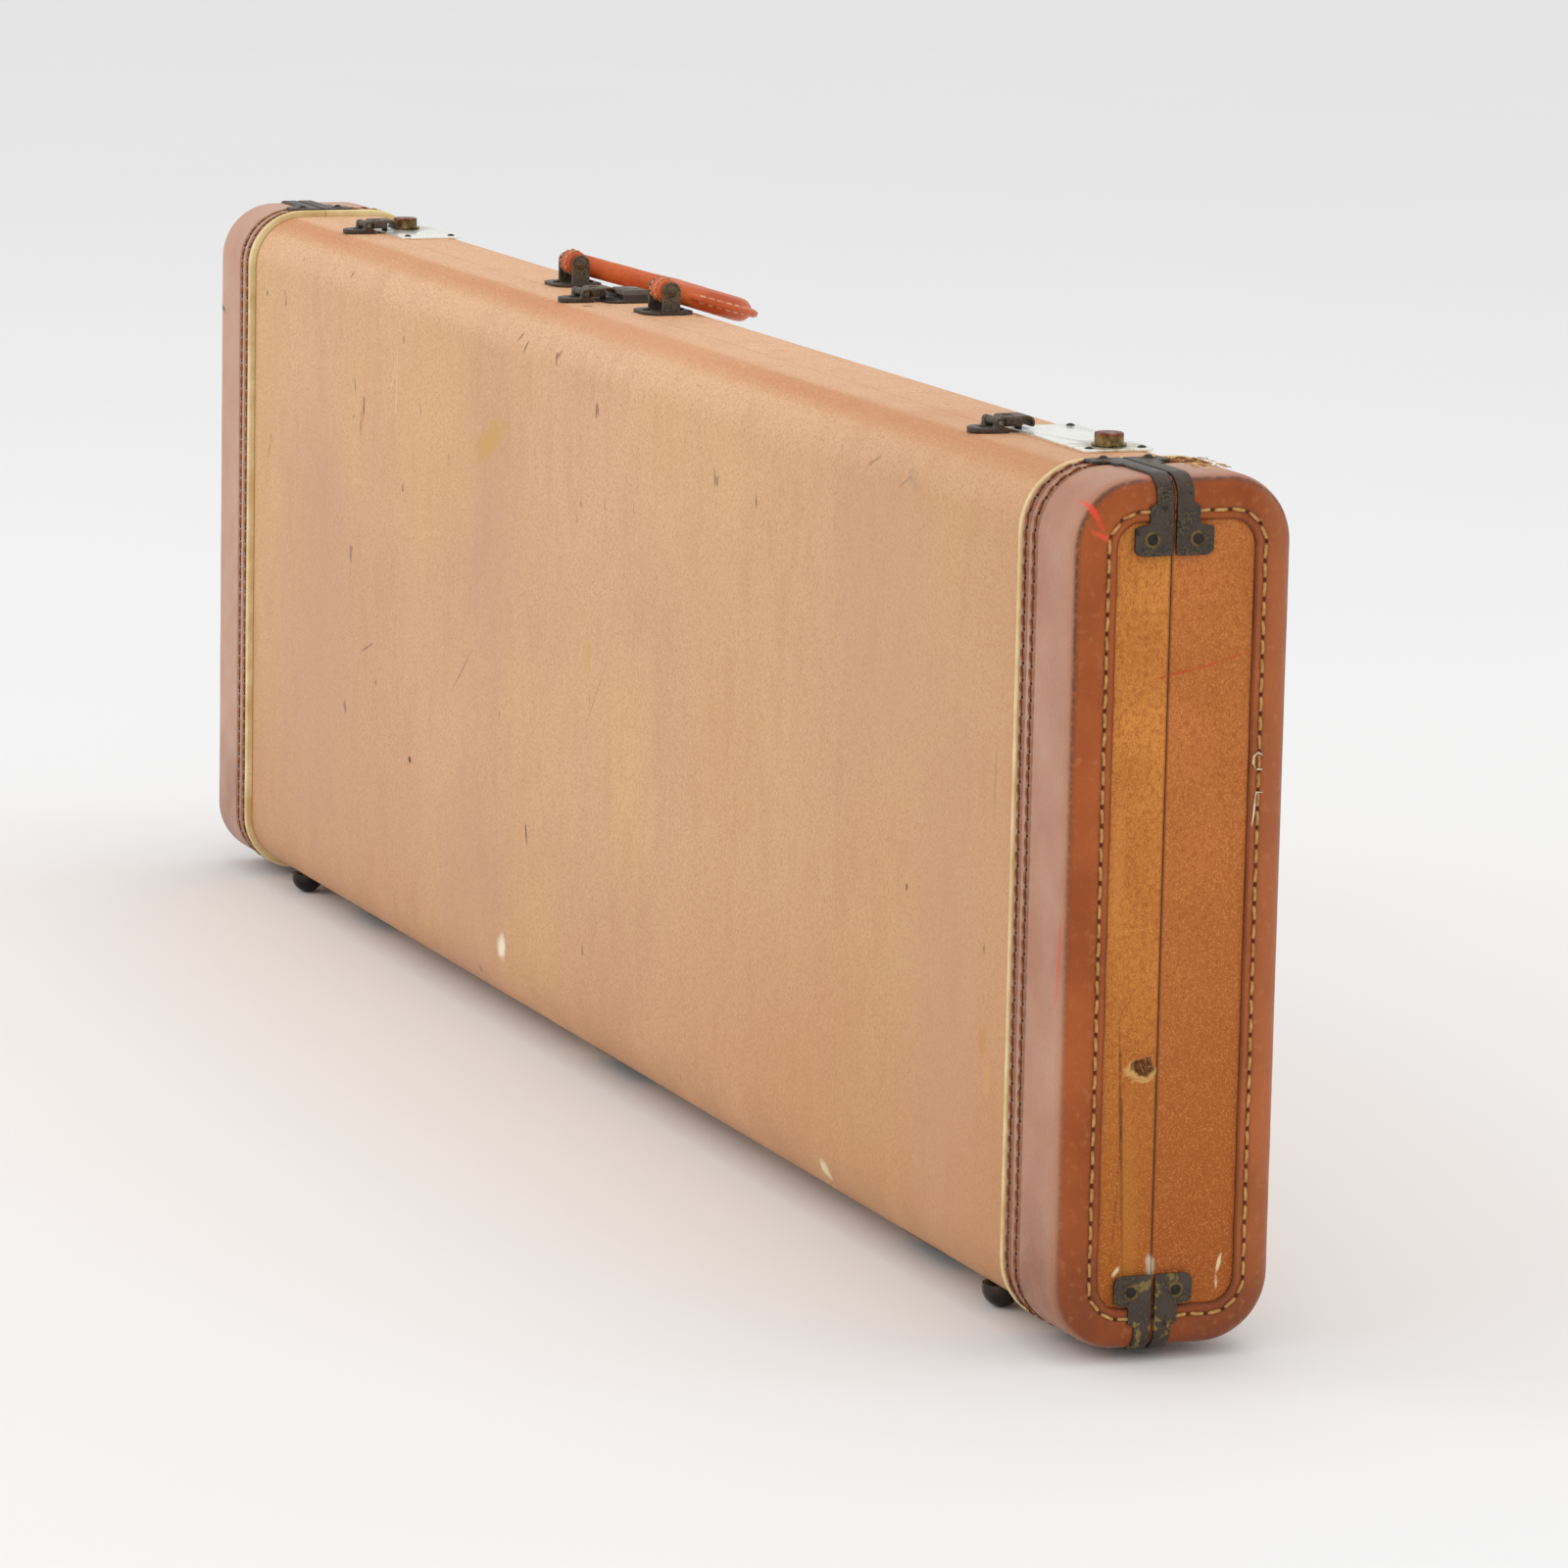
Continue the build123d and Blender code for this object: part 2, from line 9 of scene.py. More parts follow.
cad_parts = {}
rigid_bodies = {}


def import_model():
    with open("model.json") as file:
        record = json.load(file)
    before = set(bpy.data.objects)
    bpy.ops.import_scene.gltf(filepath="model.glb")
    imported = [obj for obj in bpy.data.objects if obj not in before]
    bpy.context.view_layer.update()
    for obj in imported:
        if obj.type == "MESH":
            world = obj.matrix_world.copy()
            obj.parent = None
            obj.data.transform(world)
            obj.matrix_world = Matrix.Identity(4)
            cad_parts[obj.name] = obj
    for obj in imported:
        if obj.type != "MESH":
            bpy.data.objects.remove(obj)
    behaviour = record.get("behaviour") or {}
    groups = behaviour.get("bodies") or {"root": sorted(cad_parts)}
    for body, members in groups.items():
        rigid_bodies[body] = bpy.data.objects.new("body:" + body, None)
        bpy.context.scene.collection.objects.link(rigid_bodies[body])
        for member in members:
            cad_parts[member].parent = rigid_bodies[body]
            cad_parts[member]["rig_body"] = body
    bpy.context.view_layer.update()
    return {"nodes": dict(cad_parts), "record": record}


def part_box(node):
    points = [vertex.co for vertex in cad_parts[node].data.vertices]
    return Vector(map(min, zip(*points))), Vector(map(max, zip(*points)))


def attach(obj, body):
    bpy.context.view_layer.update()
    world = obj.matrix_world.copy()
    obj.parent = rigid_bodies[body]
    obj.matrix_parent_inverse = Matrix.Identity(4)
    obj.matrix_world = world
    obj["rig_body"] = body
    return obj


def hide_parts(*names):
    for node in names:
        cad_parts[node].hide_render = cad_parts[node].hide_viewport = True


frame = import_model()
NODES = frame["nodes"]
MM = 0.001
rng = random.Random(7)

# ---- sizes, from the CAD model
LEATHER_LO, LEATHER_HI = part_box("base_leather_end_right")
END_X, BAND_X = LEATHER_HI.x, LEATHER_LO.x
CAP_Z, BASE_Z = LEATHER_HI.z, LEATHER_LO.z
HALF_DEPTH = LEATHER_HI.y
SPLIT_Y = (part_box("lid_covering")[1].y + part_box("base_covering")[0].y) / 2
SPLIT_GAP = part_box("base_covering")[0].y - SPLIT_Y
BODY_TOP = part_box("base_covering")[1].z
LEATHER = 2.6 * MM
CORNER = 28 * MM
END_ROUND = 9 * MM
FRAME = 17.5 * MM
STITCH_INSET = 13.5 * MM
SIDE_ROWS = (3.4 * MM, 12.0 * MM)
FACE_PITCH, FACE_STITCH, FACE_THREAD = 7.6 * MM, 6.0 * MM, 0.72 * MM
SIDE_PITCH, SIDE_STITCH, SIDE_THREAD = 6.8 * MM, 5.2 * MM, 0.62 * MM
HOLE = 0.75 * MM
AWAY = {"base": 1, "lid": -1}
ENDS = {"right": 1, "left": -1}
SLOTS = {row["node"]: row["material_slot"] for row in frame["record"]["subparts"]}


# ---- node materials
def rgb(red, green, blue):
    """Screen colour, 0 to 255, as the linear colour a shader wants."""

    def linear(value):
        value /= 255
        return value / 12.92 if value <= 0.04045 else ((value + 0.055) / 1.055) ** 2.4

    return (linear(red), linear(green), linear(blue), 1.0)


class Look:
    """A node material, put together from a few kinds of step."""

    def __init__(self, name, roughness=0.6, metallic=0.0):
        self.material = bpy.data.materials.new(name)
        self.material.use_nodes = True
        self.tree = self.material.node_tree
        self.shader = self.tree.nodes["Principled BSDF"]
        self.set("Roughness", roughness)
        self.set("Metallic", metallic)
        self.place = self.add("ShaderNodeTexCoord").outputs["Object"]
        split = self.add("ShaderNodeSeparateXYZ")
        self.put(split.inputs[0], self.place)
        self.x, self.y, self.z = split.outputs

    def add(self, kind, **values):
        node = self.tree.nodes.new(kind)
        for key, value in values.items():
            setattr(node, key, value)
        return node

    def put(self, socket, value):
        """Feed a socket from another socket, a number, or a screen colour given as three numbers."""
        if isinstance(value, bpy.types.NodeSocket):
            self.tree.links.new(value, socket)
        else:
            socket.default_value = rgb(*value) if isinstance(value, tuple) else value

    def noise(self, scale, detail=2.0, stretch=(1, 1, 1), shift=0.0):
        """Cloudy pattern; scale is in features a metre."""
        spread = self.add("ShaderNodeMapping")
        self.put(spread.inputs["Vector"], self.place)
        spread.inputs["Scale"].default_value = stretch
        spread.inputs["Location"].default_value = (shift, shift * 1.7, -shift)
        node = self.add("ShaderNodeTexNoise")
        self.put(node.inputs["Vector"], spread.outputs[0])
        node.inputs["Scale"].default_value = scale
        node.inputs["Detail"].default_value = detail
        return node.outputs["Fac"]

    def cells(self, scale):
        """Cracked pattern for leather grain."""
        node = self.add("ShaderNodeTexVoronoi", feature="F1")
        self.put(node.inputs["Vector"], self.place)
        node.inputs["Scale"].default_value = scale
        return node.outputs["Distance"]

    def math(self, operation, first, second=0.0):
        node = self.add("ShaderNodeMath", operation=operation)
        self.put(node.inputs[0], first)
        self.put(node.inputs[1], second)
        return node.outputs[0]

    def times(self, first, second):
        return self.math("MULTIPLY", first, second)

    def fade(self, value, low, high, start=0.0, end=1.0):
        node = self.add("ShaderNodeMapRange")
        for socket, number in zip(node.inputs, (value, low, high, start, end)):
            self.put(socket, number)
        return node.outputs[0]

    def hump(self, value, start, full, falling, end):
        """Mask that rises from start to full, then falls to nothing at end."""
        return self.times(self.fade(value, start, full), self.fade(value, falling, end, 1, 0))

    def mix(self, factor, first, second):
        node = self.add("ShaderNodeMix", data_type="RGBA")
        self.put(node.inputs[0], factor)
        self.put(node.inputs[6], first)
        self.put(node.inputs[7], second)
        return node.outputs[2]

    def blot(self, centre, radii, turn=(0, 0, 0), soft=0.4, ragged=0.35, strength=1.0):
        """Mask of one ragged oval mark, given in millimetres and degrees."""
        rough = self.noise(220, 3)
        spread = self.add("ShaderNodeMapping", vector_type="TEXTURE")
        self.put(spread.inputs["Vector"], self.place)
        spread.inputs["Location"].default_value = [value * MM for value in centre]
        spread.inputs["Rotation"].default_value = [math.radians(value) for value in turn]
        spread.inputs["Scale"].default_value = [value * MM for value in radii]
        length = self.add("ShaderNodeVectorMath", operation="LENGTH")
        self.put(length.inputs[0], spread.outputs[0])
        wobble = self.fade(rough, 0.3, 0.7, -ragged, ragged)
        reach = self.math("ADD", length.outputs["Value"], wobble)
        return self.fade(reach, 1 - soft, 1 + soft, strength, 0.0)

    def marks(self, table):
        """Lay a list of marks, each with its centre, radii, turn, colour and strength."""
        for centre, radii, turn, paint, strength in table:
            self.lay(self.blot(centre, radii, turn, strength=strength), paint)

    def bump(self, height, distance, strength=1.0):
        node = self.add("ShaderNodeBump")
        self.put(node.inputs["Height"], height)
        node.inputs["Distance"].default_value = distance
        node.inputs["Strength"].default_value = strength
        self.set("Normal", node.outputs[0])

    def set(self, name, value):
        self.put(self.shader.inputs[name], value)

    def colour(self, value):
        self.painted = value
        self.set("Base Color", value)

    def lay(self, mask, paint):
        """Cover the colour so far with another, where the mask says."""
        self.colour(self.mix(mask, self.painted, paint))

    def rough(self, value, low, high):
        self.set("Roughness", self.fade(value, 0.3, 0.7, low, high))


# Marks on the front: place and half size along the case and up, in millimetres; turn; colour; strength.
FRONT_Y = -44
CLOUDS = [
    (-131, 230, 34, 62, 0, (203, 150, 126), 0.35),
    (-154, 60, 46, 55, 0, (199, 148, 124), 0.35),
    (365, 275, 60, 60, 0, (203, 153, 124), 0.3),
    (-400, 150, 60, 120, 0, (200, 152, 128), 0.35),
    (440, 130, 34, 110, 0, (204, 152, 124), 0.3),
]
FRONT_MARKS = [
    (-134, 282, 21, 6.5, -24, (206, 158, 78), 0.75),
    (8, 199, 4.5, 9, 12, (209, 163, 96), 0.5),
    (2, 218, 2.5, 5, 0, (209, 163, 96), 0.4),
    (-107, 40.5, 5.2, 5.0, 0, (243, 234, 208), 1.0),
    (311, 23, 4.2, 3.6, 30, (232, 222, 180), 0.9),
    (-86, 332, 0.7, 3.6, 35, (88, 62, 44), 0.8),
    (-96, 336, 0.6, 3.0, 50, (88, 62, 44), 0.7),
    (-276, 289, 0.7, 15, 2, (236, 208, 178), 0.6),
    (-281, 296, 0.5, 7, 25, (236, 208, 178), 0.5),
    (-74, 102, 0.9, 4.4, -15, (84, 56, 36), 0.95),
    (-249, 108, 2.0, 1.6, 0, (84, 56, 36), 0.95),
    (394, 332, 8, 4, 20, (170, 136, 104), 0.3),
    (386, 330, 0.5, 5, 62, (130, 100, 74), 0.5),
    (350, 334, 0.7, 6, 66, (130, 104, 74), 0.5),
    (-172, 164, 0.5, 17, 50, (120, 84, 60), 0.5),
    (22, 186, 0.4, 20, 38, (150, 108, 80), 0.45),
    (-318, 154, 0.5, 9, 70, (104, 74, 54), 0.6),
    (-491, 315, 1.1, 1.3, 0, (110, 74, 50), 0.8),
    (-437, 338, 1.2, 0.9, 0, (110, 74, 50), 0.7),
    (-342, 284, 0.7, 4.5, -12, (112, 78, 54), 0.7),
    (219, 300, 0.8, 3.0, 0, (104, 74, 52), 0.7),
    (28, 273, 0.5, 2.6, 0, (104, 74, 52), 0.6),
    (399, 163, 1.0, 1.6, 10, (92, 58, 34), 0.9),
    (489, 222, 1.0, 12, 3, (166, 128, 86), 0.55),
    (482, 115, 3.6, 5.0, 0, (200, 140, 76), 0.7),
    (487, 100, 3.0, 7.0, 0, (212, 162, 92), 0.5),
]
# Marks on the top: centre, radii, turn, colour, strength.
TOP_MARKS = [
    ((345, -10, 352), (20, 14, 8), (0, 0, 0), (206, 140, 100), 0.4),
    ((40, -30, 352), (120, 12, 10), (0, 0, 0), (226, 170, 130), 0.35),
]


def below_top(*depths):
    """Heights at some depths, in millimetres, under the top of the covering."""
    return [BODY_TOP - depth * MM for depth in depths]


def leatherette_look():
    """Tan leatherette: fine woven grain, uneven fading, stains, dirt along the bottom edge, a darker line
    beside the piping, painted shade towards the right and the bottom, and painted reflection and highlights
    on the rounded top edge.
    """
    look = Look("tan_leatherette", roughness=0.55)
    look.colour(look.mix(look.fade(look.noise(5, 4), 0.36, 0.64), (228, 185, 140), (218, 169, 125)))
    pink = look.fade(look.noise(4.4, 4, (1, 1, 0.4), 3.1), 0.46, 0.66, 0, 0.55)
    look.lay(pink, (206, 154, 125))
    gold = look.fade(look.noise(9, 4, (1, 1, 0.6), 8.3), 0.48, 0.68, 0, 0.7)
    look.lay(gold, (224, 184, 130))
    # Painted reflection on the rounded top edge: the roll turns warmer and darker towards the top.
    top = look.fade(look.z, BODY_TOP - 28 * MM, BODY_TOP - 3 * MM, 0, 0.4)
    look.lay(top, (226, 164, 120))
    # Painted highlight: a pale band a little under the top edge.
    glow = look.hump(look.z, *below_top(26, 16, 9, 5))
    look.lay(look.times(glow, 0.6), (238, 196, 158))
    # Painted shade: a dark orange reflection band at the arris, broken by streaks, on the front side only.
    ridge = look.hump(look.z, *below_top(7.5, 2.6, 0.8, 0.1))
    streaks = look.fade(look.noise(16, 4, (0.25, 1, 1), 4.4), 0.32, 0.6, 0.45, 1)
    ridge = look.times(look.times(ridge, streaks), look.fade(look.y, -0.004, -0.018, 0, 0.85))
    look.lay(ridge, (206, 120, 70))
    # Painted highlight on the flat top.
    flat = look.times(look.fade(look.z, BODY_TOP - 0.5 * MM, BODY_TOP), 0.45)
    look.lay(flat, (246, 198, 162))
    dirt = look.times(look.fade(look.z, 0.05, 0.012), look.fade(look.noise(26, 4), 0.35, 0.6))
    look.lay(look.times(dirt, 0.6), (166, 122, 90))
    across = look.noise(650, 2, (1, 1, 4))
    along = look.noise(600, 2, (4, 1, 1), 2.0)
    weave = look.times(look.math("ADD", across, along), 0.5)
    speck = look.noise(850, 3, shift=5.0)
    look.lay(look.fade(weave, 0.49, 0.61, 0, 0.5), (238, 202, 158))
    look.lay(look.fade(weave, 0.5, 0.4, 0, 0.4), (192, 138, 94))
    look.lay(look.fade(speck, 0.5, 0.66, 0, 0.6), (190, 136, 94))
    brushed = look.fade(look.noise(70, 5, (1, 1, 0.35), 7.7), 0.5, 0.68, 0, 0.22)
    look.lay(brushed, (198, 142, 106))
    look.lay(0.08, (205, 140, 72))
    seam = look.fade(look.math("ABSOLUTE", look.x), BAND_X - 6 * MM, BAND_X - 3.2 * MM, 0, 0.7)
    look.lay(seam, (140, 98, 68))
    shade = look.math("ADD", look.fade(look.x, 0.1, 0.52, 0, 0.42), look.fade(look.z, 0.14, 0.02, 0, 0.26))
    look.lay(shade, (184, 126, 80))
    nick = look.fade(look.noise(62, 5, (1, 1, 0.5), 11.0), 0.715, 0.745, 0, 0.75)
    look.lay(nick, (120, 82, 56))
    for table, depth in ((CLOUDS, 20), (FRONT_MARKS, 8)):
        for x, z, wide, high, turn, paint, strength in table:
            mark = ((x, FRONT_Y, z), (wide, depth, high), (0, turn, 0), paint, strength)
            look.marks([mark])
    look.marks(TOP_MARKS)
    look.rough(weave, 0.46, 0.62)
    look.set("Specular IOR Level", 0.28)
    look.bump(look.math("ADD", weave, look.times(speck, 0.6)), 0.00022, 0.8)
    return look


def end_leather_look():
    """Brown leather: pale on the band from painted sheen, darker on the end, black along the arris."""
    look = Look("brown_leather", roughness=0.42)
    # Zone colour: end face, worn arris, and painted shade in the grooves and along the edges.
    zones = look.add("ShaderNodeAttribute", attribute_name="zones")
    parts = look.add("ShaderNodeSeparateColor")
    look.put(parts.inputs[0], zones.outputs["Color"])
    face, arris, seam = parts.outputs
    cloud = look.fade(look.noise(22, 5), 0.35, 0.65)
    # The band and the end face are one leather: the band's paler, pinker colour is painted sheen.
    band = look.mix(cloud, (188, 136, 106), (172, 114, 84))
    # Painted sheen: the band at the far end is made paler still.
    far = look.fade(look.x, -0.5, -0.45, 0.45, 0.0)
    band = look.mix(far, band, (212, 168, 144))
    end = look.mix(cloud, (176, 92, 42), (146, 71, 31))
    warm = look.fade(look.y, 0.026, 0.04, 0, 0.5)
    end = look.mix(warm, end, (182, 112, 72))
    look.colour(look.mix(face, band, end))
    grubby = look.fade(look.noise(40, 4, shift=6.0), 0.35, 0.6, 0.3, 0.8)
    look.lay(look.times(look.fade(look.z, 0.09, 0.012), grubby), (122, 66, 38))
    scuff = look.fade(look.noise(260, 4, shift=4.0), 0.56, 0.74, 0, 0.35)
    look.lay(scuff, (192, 126, 84))
    worn = look.times(arris, look.fade(look.noise(420, 4, shift=2.0), 0.3, 0.54, 0.3, 1))
    worn = look.times(worn, look.fade(look.z, 0.12, 0.3, 0.28, 0.9))
    look.lay(worn, (84, 48, 32))
    # Painted shade in the stitch grooves, along the cut edge by the piping and at the inner edge of the
    # frame.
    look.lay(look.times(seam, 0.8), (94, 50, 28))
    look.marks(
        [
            ((570, -40.0, 343), (12, 1.2, 9), (24, 0, 0), (226, 74, 46), 0.9),
            ((570, -37.5, 350), (12, 1.0, 5), (-40, 0, 0), (220, 96, 62), 0.6),
            ((570, -36.5, 332.5), (6, 3.6, 1.2), (-24, 0, 0), (222, 84, 54), 0.8),
            ((568, -12, 355), (8, 8, 1.5), (0, 0, 0), (200, 80, 50), 0.5),
            ((562, -47, 162), (1.0, 6, 15), (0, 4, 0), (214, 78, 52), 0.7),
            ((-562, -47, 300), (5, 6, 1.2), (0, 20, 0), (56, 36, 28), 0.9),
            ((534, 21, 355), (17, 7.5, 3), (0, 0, 14), (214, 166, 112), 1.0),
            ((545, 27, 353), (9, 5, 4), (0, 0, 40), (196, 132, 80), 0.9),
        ],
    )
    grain = look.cells(900)
    look.rough(look.noise(60, 3, shift=9.0), 0.34, 0.55)
    look.set("Specular IOR Level", look.fade(face, 0, 1, 0.5, 0.18))
    look.set("Coat Weight", look.fade(face, 0, 1, 0.16, 0.02))
    look.set("Coat Roughness", 0.4)
    crease = look.noise(120, 4, (1, 1, 2.2))
    look.bump(look.math("ADD", grain, look.times(crease, 1.4)), 0.00025, 0.75)
    return look


def end_cloth_look():
    """Golden-orange cloth with a speckled nap."""
    look = Look("orange_cloth", roughness=0.78)
    lid_side = look.fade(look.y, SPLIT_Y - 0.0005, SPLIT_Y + 0.0005, 1.0, 0.0)
    low = look.fade(look.z, 0.02, 0.22, 0, 1)
    golden = look.mix(low, (166, 88, 26), (218, 142, 64))
    redder = look.mix(low, (160, 82, 28), (200, 120, 62))
    look.colour(look.mix(lid_side, redder, golden))
    look.lay(look.fade(look.noise(30, 4), 0.4, 0.65, 0, 0.5), (172, 98, 42))
    veins = look.fade(look.noise(380, 5, shift=2.6), 0.48, 0.62, 0, 0.5)
    look.lay(veins, (170, 90, 38))
    speck = look.noise(1500, 3)
    look.lay(look.fade(speck, 0.5, 0.68, 0, 0.5), (232, 160, 88))
    threads = look.noise(1000, 2, (1, 3.5, 1), 6.0)
    look.lay(look.fade(threads, 0.48, 0.66, 0, 0.6), (154, 80, 30))
    # Painted shade in the gap between the halves.
    from_split = look.math("ABSOLUTE", look.math("SUBTRACT", look.y, SPLIT_Y))
    near_split = look.fade(from_split, 0, 0.0012, 0.85, 0)
    look.lay(near_split, (92, 52, 28))
    look.marks(
        [
            ((568, -6.5, 39.5), (4, 1.8, 4.2), (0, 0, 0), (206, 190, 168), 0.8),
            ((568, -21.5, 37.5), (4, 0.8, 2.2), (-35, 0, 0), (236, 214, 168), 0.9),
            ((568, 23.4, 38), (4, 0.7, 3.6), (-14, 0, 0), (240, 216, 172), 0.9),
            ((568, 22.6, 30), (4, 0.6, 2.2), (0, 0, 0), (240, 216, 172), 0.7),
            ((568, -20.4, 85), (4, 0.7, 42), (2.4, 0, 0), (104, 62, 28), 0.9),
            ((568, -16.5, 60), (4, 3.2, 46), (2.4, 0, 0), (190, 122, 50), 0.5),
            ((569, 0, 277.5), (4, 12.5, 0.45), (11, 0, 0), (196, 66, 40), 0.6),
            ((569, 19, 282), (4, 9, 0.4), (15, 0, 0), (196, 66, 40), 0.5),
            ((569, -25, 200), (4, 2.5, 26), (0, 0, 0), (214, 140, 72), 0.4),
        ],
    )
    frayed = look.blot((568, -12.6, 118.6), (4, 6.6, 4.6), soft=0.14, ragged=0.3)
    look.lay(look.times(frayed, 0.85), (214, 168, 100))
    torn = look.blot((568, -11.8, 120.3), (4, 5.2, 3.7), soft=0.12, ragged=0.25)
    backing = look.mix(look.fade(look.noise(500, 3), 0.4, 0.6), (118, 68, 30), (84, 46, 20))
    look.lay(torn, backing)
    look.set("Specular IOR Level", 0.2)
    look.set("Sheen Weight", 0.05)
    look.bump(look.math("ADD", speck, look.noise(300, 3, (1, 4, 1))), 0.0003, 0.9)
    return look


def simple_look(name, pale, dark, scale, rough, bump, **more):
    """Two-tone mottled material with fine relief."""
    look = Look(name, metallic=more.get("metallic", 0.0))
    broad = look.fade(look.noise(scale, 4), 0.35, 0.65)
    fine = look.noise(scale * more.get("fine", 12), 3, more.get("stretch", (1, 1, 1)), 3.0)
    look.colour(look.mix(broad, pale, dark))
    look.lay(look.fade(fine, 0.45, 0.75, 0, 0.5), dark)
    look.rough(fine, *rough)
    look.bump(fine, bump, 0.7)
    for socket, value in more.get("sockets", {}).items():
        look.set(socket, value)
    return look


def bronze_look():
    """Darkened plate, rubbed through to greenish brass on what stands out."""
    look = Look("dark_bronze", metallic=0.55)
    broad = look.noise(90, 4)
    fine = look.noise(900, 4, shift=2.0)
    look.colour(look.mix(look.fade(broad, 0.4, 0.6), (78, 66, 57), (58, 50, 45)))
    wear = look.math("ADD", look.times(broad, 0.45), look.times(fine, 0.55))
    look.lay(look.fade(wear, 0.52, 0.6, 0, 0.4), (124, 104, 64))
    high = look.fade(look.z, BODY_TOP + 3.4 * MM, BODY_TOP + 6.8 * MM, 0, 0.3)
    look.lay(look.times(high, look.fade(fine, 0.4, 0.5)), (128, 108, 72))
    grime = look.fade(look.noise(330, 4, shift=7.0), 0.6, 0.68, 0, 0.8)
    look.lay(grime, (38, 32, 28))
    rubbed = look.fade(look.noise(190, 4, shift=5.5), 0.58, 0.64, 0, 0.7)
    look.lay(look.times(look.fade(look.z, 0.05, 0.03), rubbed), (150, 128, 64))
    look.rough(fine, 0.34, 0.6)
    look.bump(fine, 0.00018, 0.6)
    return look


def nickel_look():
    """Bright nickel, brassy round the thumb buttons."""
    look = Look("nickel", metallic=0.6)
    brushed = look.noise(300, 3, (1, 6, 1))
    look.colour(look.mix(look.fade(brushed, 0.4, 0.7), (252, 252, 246), (232, 232, 222)))
    pits = look.fade(look.noise(240, 4, shift=3.0), 0.64, 0.7, 0, 0.4)
    look.lay(pits, (150, 140, 104))
    for name in ("left", "right"):
        low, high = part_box(f"thumb_button_{name}")
        middle = [(low[axis] + high[axis]) / 2 / MM for axis in range(3)]
        look.lay(look.blot(middle, (12, 12, 12), soft=0.5), (146, 128, 66))
    look.rough(brushed, 0.14, 0.3)
    look.bump(brushed, 0.00005, 0.5)
    return look


def button_look():
    """Copper-brown top over a brass side."""
    look = Look("worn_button", metallic=0.85)
    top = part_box("thumb_button_left")[1].z
    mottle = look.noise(260, 4)
    upper = look.fade(look.z, top - 2.4 * MM, top - 0.6 * MM)
    side = look.mix(look.fade(mottle, 0.4, 0.6), (140, 118, 70), (88, 72, 44))
    cap = look.mix(look.fade(mottle, 0.4, 0.6), (150, 96, 66), (104, 62, 44))
    look.colour(look.mix(upper, side, cap))
    look.rough(mottle, 0.3, 0.5)
    look.bump(mottle, 0.0001, 0.5)
    return look


def plywood_look():
    """Birch plies, seen on edge where the halves open."""
    look = Look("plywood", roughness=0.62)
    grain = look.noise(60, 4, (0.15, 1, 1))
    plies = look.noise(700, 1, (0.02, 1, 1), 1.0)
    look.colour(look.mix(look.fade(grain, 0.35, 0.65), (214, 180, 130), (186, 146, 96)))
    look.lay(look.fade(plies, 0.5, 0.6, 0, 0.6), (150, 108, 66))
    look.bump(grain, 0.0002, 0.6)
    return look


SHEEN = {"Sheen Weight": 0.6, "Sheen Roughness": 0.4}
LOOKS = {
    "leatherette": leatherette_look(),
    "end_leather": end_leather_look(),
    "end_cloth": end_cloth_look(),
    "bronzed_steel": bronze_look(),
    "nickel": nickel_look(),
    "button_nickel": button_look(),
    "plywood": plywood_look(),
    "piping": simple_look("cream_piping", (240, 222, 170), (212, 182, 120), 60, (0.34, 0.5), 0.00008),
    "plush": simple_look(
        "brown_plush", (190, 124, 84), (156, 94, 60), 24, (0.85, 0.95), 0.0008, fine=40, sockets=SHEEN,
    ),
    "padding": simple_look(
        "brown_plush_pad", (196, 130, 88), (160, 98, 62), 20, (0.85, 0.95), 0.0008, fine=44, sockets=SHEEN,
    ),
    "handle_leather": simple_look(
        "orange_leather", (214, 106, 54), (188, 82, 38), 46, (0.38, 0.55), 0.00015, fine=14,
        sockets={"Specular IOR Level": 0.3, "Coat Weight": 0.06, "Coat Roughness": 0.2},
    ),
    # Needle holes: dark matte buttons painted in for the shade in the holes.
    "hole": simple_look(
        "needle_holes", (104, 60, 34), (74, 42, 24), 300, (0.9, 0.95), 0.00005,
        sockets={"Specular IOR Level": 0.0},
    ),
}
METALS = {
    "foot_steel": ("foot_steel", (70, 62, 56), (40, 36, 34), 90, (0.24, 0.4), 0.00008, 0.7),
    "steel": ("plain_steel", (150, 146, 138), (96, 90, 80), 120, (0.3, 0.5), 0.00006, 0.9),
    "brass_ring": ("brass_ring", (128, 106, 60), (70, 58, 40), 260, (0.4, 0.6), 0.0001, 0.7),
    "rivet": ("dark_rivet", (44, 37, 33), (30, 26, 24), 260, (0.35, 0.5), 0.0001, 0.5),
}
THREADS = {
    "thread": ("tan_thread", (206, 160, 96), (168, 118, 62)),
    "side_thread": ("brown_thread", (166, 104, 60), (122, 70, 38)),
    "pale_thread": ("pale_thread", (240, 222, 190), (214, 188, 148)),
    "handle_thread": ("red_thread", (240, 200, 154), (206, 146, 100)),
}
for slot, (*values, metallic) in METALS.items():
    LOOKS[slot] = simple_look(*values, metallic=metallic)
for slot, values in THREADS.items():
    LOOKS[slot] = simple_look(*values, 400, (0.7, 0.85), 0.0001, fine=6)


# ---- mesh helpers
def add_object(name, data):
    obj = bpy.data.objects.new(name, data)
    bpy.context.scene.collection.objects.link(obj)
    return obj


def to_mesh(name, bm):
    bmesh.ops.recalc_face_normals(bm, faces=bm.faces)
    mesh = bpy.data.meshes.new(name)
    bm.to_mesh(mesh)
    bm.free()
    return mesh


